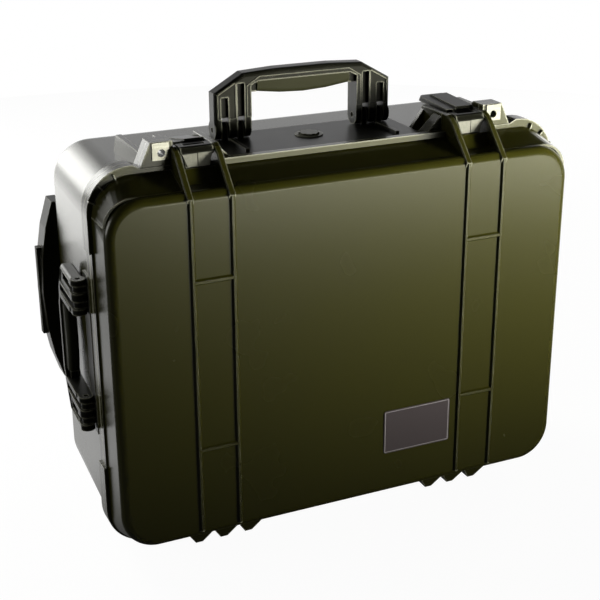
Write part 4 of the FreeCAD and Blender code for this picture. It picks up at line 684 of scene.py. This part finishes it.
def lit_behind(tree, way, left_edge):
    """Share of light that a mirrored ray meets: 1 behind the case, 0 in front of it and far to its left."""
    apart = add(tree, "ShaderNodeSeparateXYZ", {0: way})
    behind = add(tree, "ShaderNodeMapRange", {0: apart.outputs[1], 1: LIT_FROM, 2: LIT_FULL},
                 interpolation_type="SMOOTHSTEP")
    leaning = add(tree, "ShaderNodeMath", {0: apart.outputs[1], 1: LEFT_SLANT, 2: apart.outputs[0]},
                  operation="MULTIPLY_ADD")
    inside = add(tree, "ShaderNodeMapRange", {
        0: leaning.outputs[0], 1: left_edge - 0.04, 2: left_edge + 0.03,
    }, interpolation_type="SMOOTHSTEP")
    share = add(tree, "ShaderNodeMath", {0: behind.outputs[0], 1: inside.outputs[0]}, operation="MULTIPLY")
    return share, apart


def larger(tree, one, other):
    """The larger of two ray shares."""
    return add(tree, "ShaderNodeMath", {0: one, 1: other}, operation="MAXIMUM").outputs[0]


# %% Floor
PAPER_WHITE, PAPER_SHADE = 0.96, (0.12, 0.12, 0.12, 1)
bpy.ops.mesh.primitive_circle_add(vertices=96, radius=2.2, fill_type="NGON", location=(0, 0, -0.6 * MM))
floor = bpy.context.active_object
floor.name = "floor"
paper, tree, place = finish("white_paper")
rays = add(tree, "ShaderNodeLightPath")
share, _ = lit_behind(tree, place, -0.335)
mirrored = add(tree, "ShaderNodeMapRange", {0: share.outputs[0], 3: UNLIT})
seen = add(tree, "ShaderNodeMath", {0: rays.outputs["Is Glossy Ray"], 1: mirrored.outputs[0]},
           operation="MULTIPLY")
plain_rays = larger(tree, rays.outputs["Is Camera Ray"], rays.outputs["Is Transmission Ray"])
glow = add(tree, "ShaderNodeEmission", {
    "Color": (1, 1, 1, 1),
    "Strength": add(tree, "ShaderNodeMath", {0: larger(tree, plain_rays, seen.outputs[0]), 1: PAPER_WHITE},
                    operation="MULTIPLY").outputs[0],
})
sheet = add(tree, "ShaderNodeBsdfDiffuse", {"Color": PAPER_SHADE})
close(tree, add(tree, "ShaderNodeAddShader", {0: sheet.outputs[0], 1: glow.outputs[0]}))
floor.data.materials.append(paper)
print("floor laid")

# %% World
world = bpy.data.worlds.new("studio")
bpy.context.scene.world = world
world.use_nodes = True
tree = world.node_tree
tree.nodes.clear()
rays = add(tree, "ShaderNodeLightPath")
share, apart = lit_behind(tree, add(tree, "ShaderNodeTexCoord").outputs["Generated"], -0.03)
below_top = add(tree, "ShaderNodeMapRange", {0: apart.outputs[2], 1: 0.33, 2: 0.45, 3: 1.0, 4: 0.0},
                interpolation_type="SMOOTHSTEP")
sweep = add(tree, "ShaderNodeMath", {0: below_top.outputs[0], 1: share.outputs[0]}, operation="MULTIPLY")
mirrored = add(tree, "ShaderNodeMapRange", {0: sweep.outputs[0], 3: UNLIT})
room = add(tree, "ShaderNodeMix", {0: rays.outputs["Is Glossy Ray"], 2: 0.02, 3: mirrored.outputs[0]})
plain_rays = larger(tree, rays.outputs["Is Camera Ray"], rays.outputs["Is Transmission Ray"])
total = add(tree, "ShaderNodeMix", {0: plain_rays, 2: room.outputs[0], 3: 1.0})
background = add(tree, "ShaderNodeBackground", {"Color": (1, 1, 1, 1), "Strength": total.outputs[0]})
add(tree, "ShaderNodeOutputWorld", {"Surface": background.outputs[0]})
print("world set")

# %% [markdown]
# ## Lamps
# The key is a soft box with a grid, low at the front right. It is aimed at the lid's upper right corner, so
# its light fades to the left and down the face, and mirrored rays don't see it. A wide, low box in front
# does the opposite: it adds only the soft sheen that is strongest near the top of the face. Three boxes
# behind and to the left draw the light edges and the pale left wall, and a weak one behind on the right
# keeps the back from going black.

# %% Lamps
def soft_box(name, at, towards, size, watts, spread=180, lights_surfaces=True, mirrored=True,
             tint=(1.0, 1.0, 0.96)):
    lamp = bpy.data.lights.new(name, "AREA")
    lamp.shape = "RECTANGLE"
    lamp.size, lamp.size_y = size
    lamp.energy = watts
    lamp.spread = math.radians(spread)
    holder = bpy.data.objects.new(name, lamp)
    bpy.context.scene.collection.objects.link(holder)
    holder.location = at
    holder.rotation_euler = (Vector(towards) - Vector(at)).to_track_quat("-Z", "Y").to_euler()
    holder.visible_camera = False
    holder.visible_diffuse = lights_surfaces
    holder.visible_glossy = mirrored
    lamp.color = tint


soft_box("key_box", (1.15, -1.0, 0.22), (0.34, -0.13, 0.55), (0.5, 0.3), 7.5, spread=54, mirrored=False)
soft_box("back_left_box", (-0.8, 1.85, 1.0), (-0.1, 0, 0.35), (0.7, 1.3), 12)
soft_box("left_box", (-2.0, 0.4, 0.7), (-0.26, 0, 0.25), (0.8, 0.8), 7)
soft_box("near_back_left_box", (-0.385, 0.9, 0.4), (-0.34, 0.0, 0.4), (0.4, 0.8), 1.6)
soft_box("front_sheen_box", (0.78, -1.5, 0.08), (0.1, -0.13, 0.4), (1.4, 0.2), 8, lights_surfaces=False,
         tint=(1.0, 0.99, 0.8))
soft_box("right_back_box", (1.9, 1.2, 0.8), (0, 0, 0.2), (0.9, 0.9), 5)
bpy.context.scene.view_settings.view_transform = "Standard"
print("lamps hung")
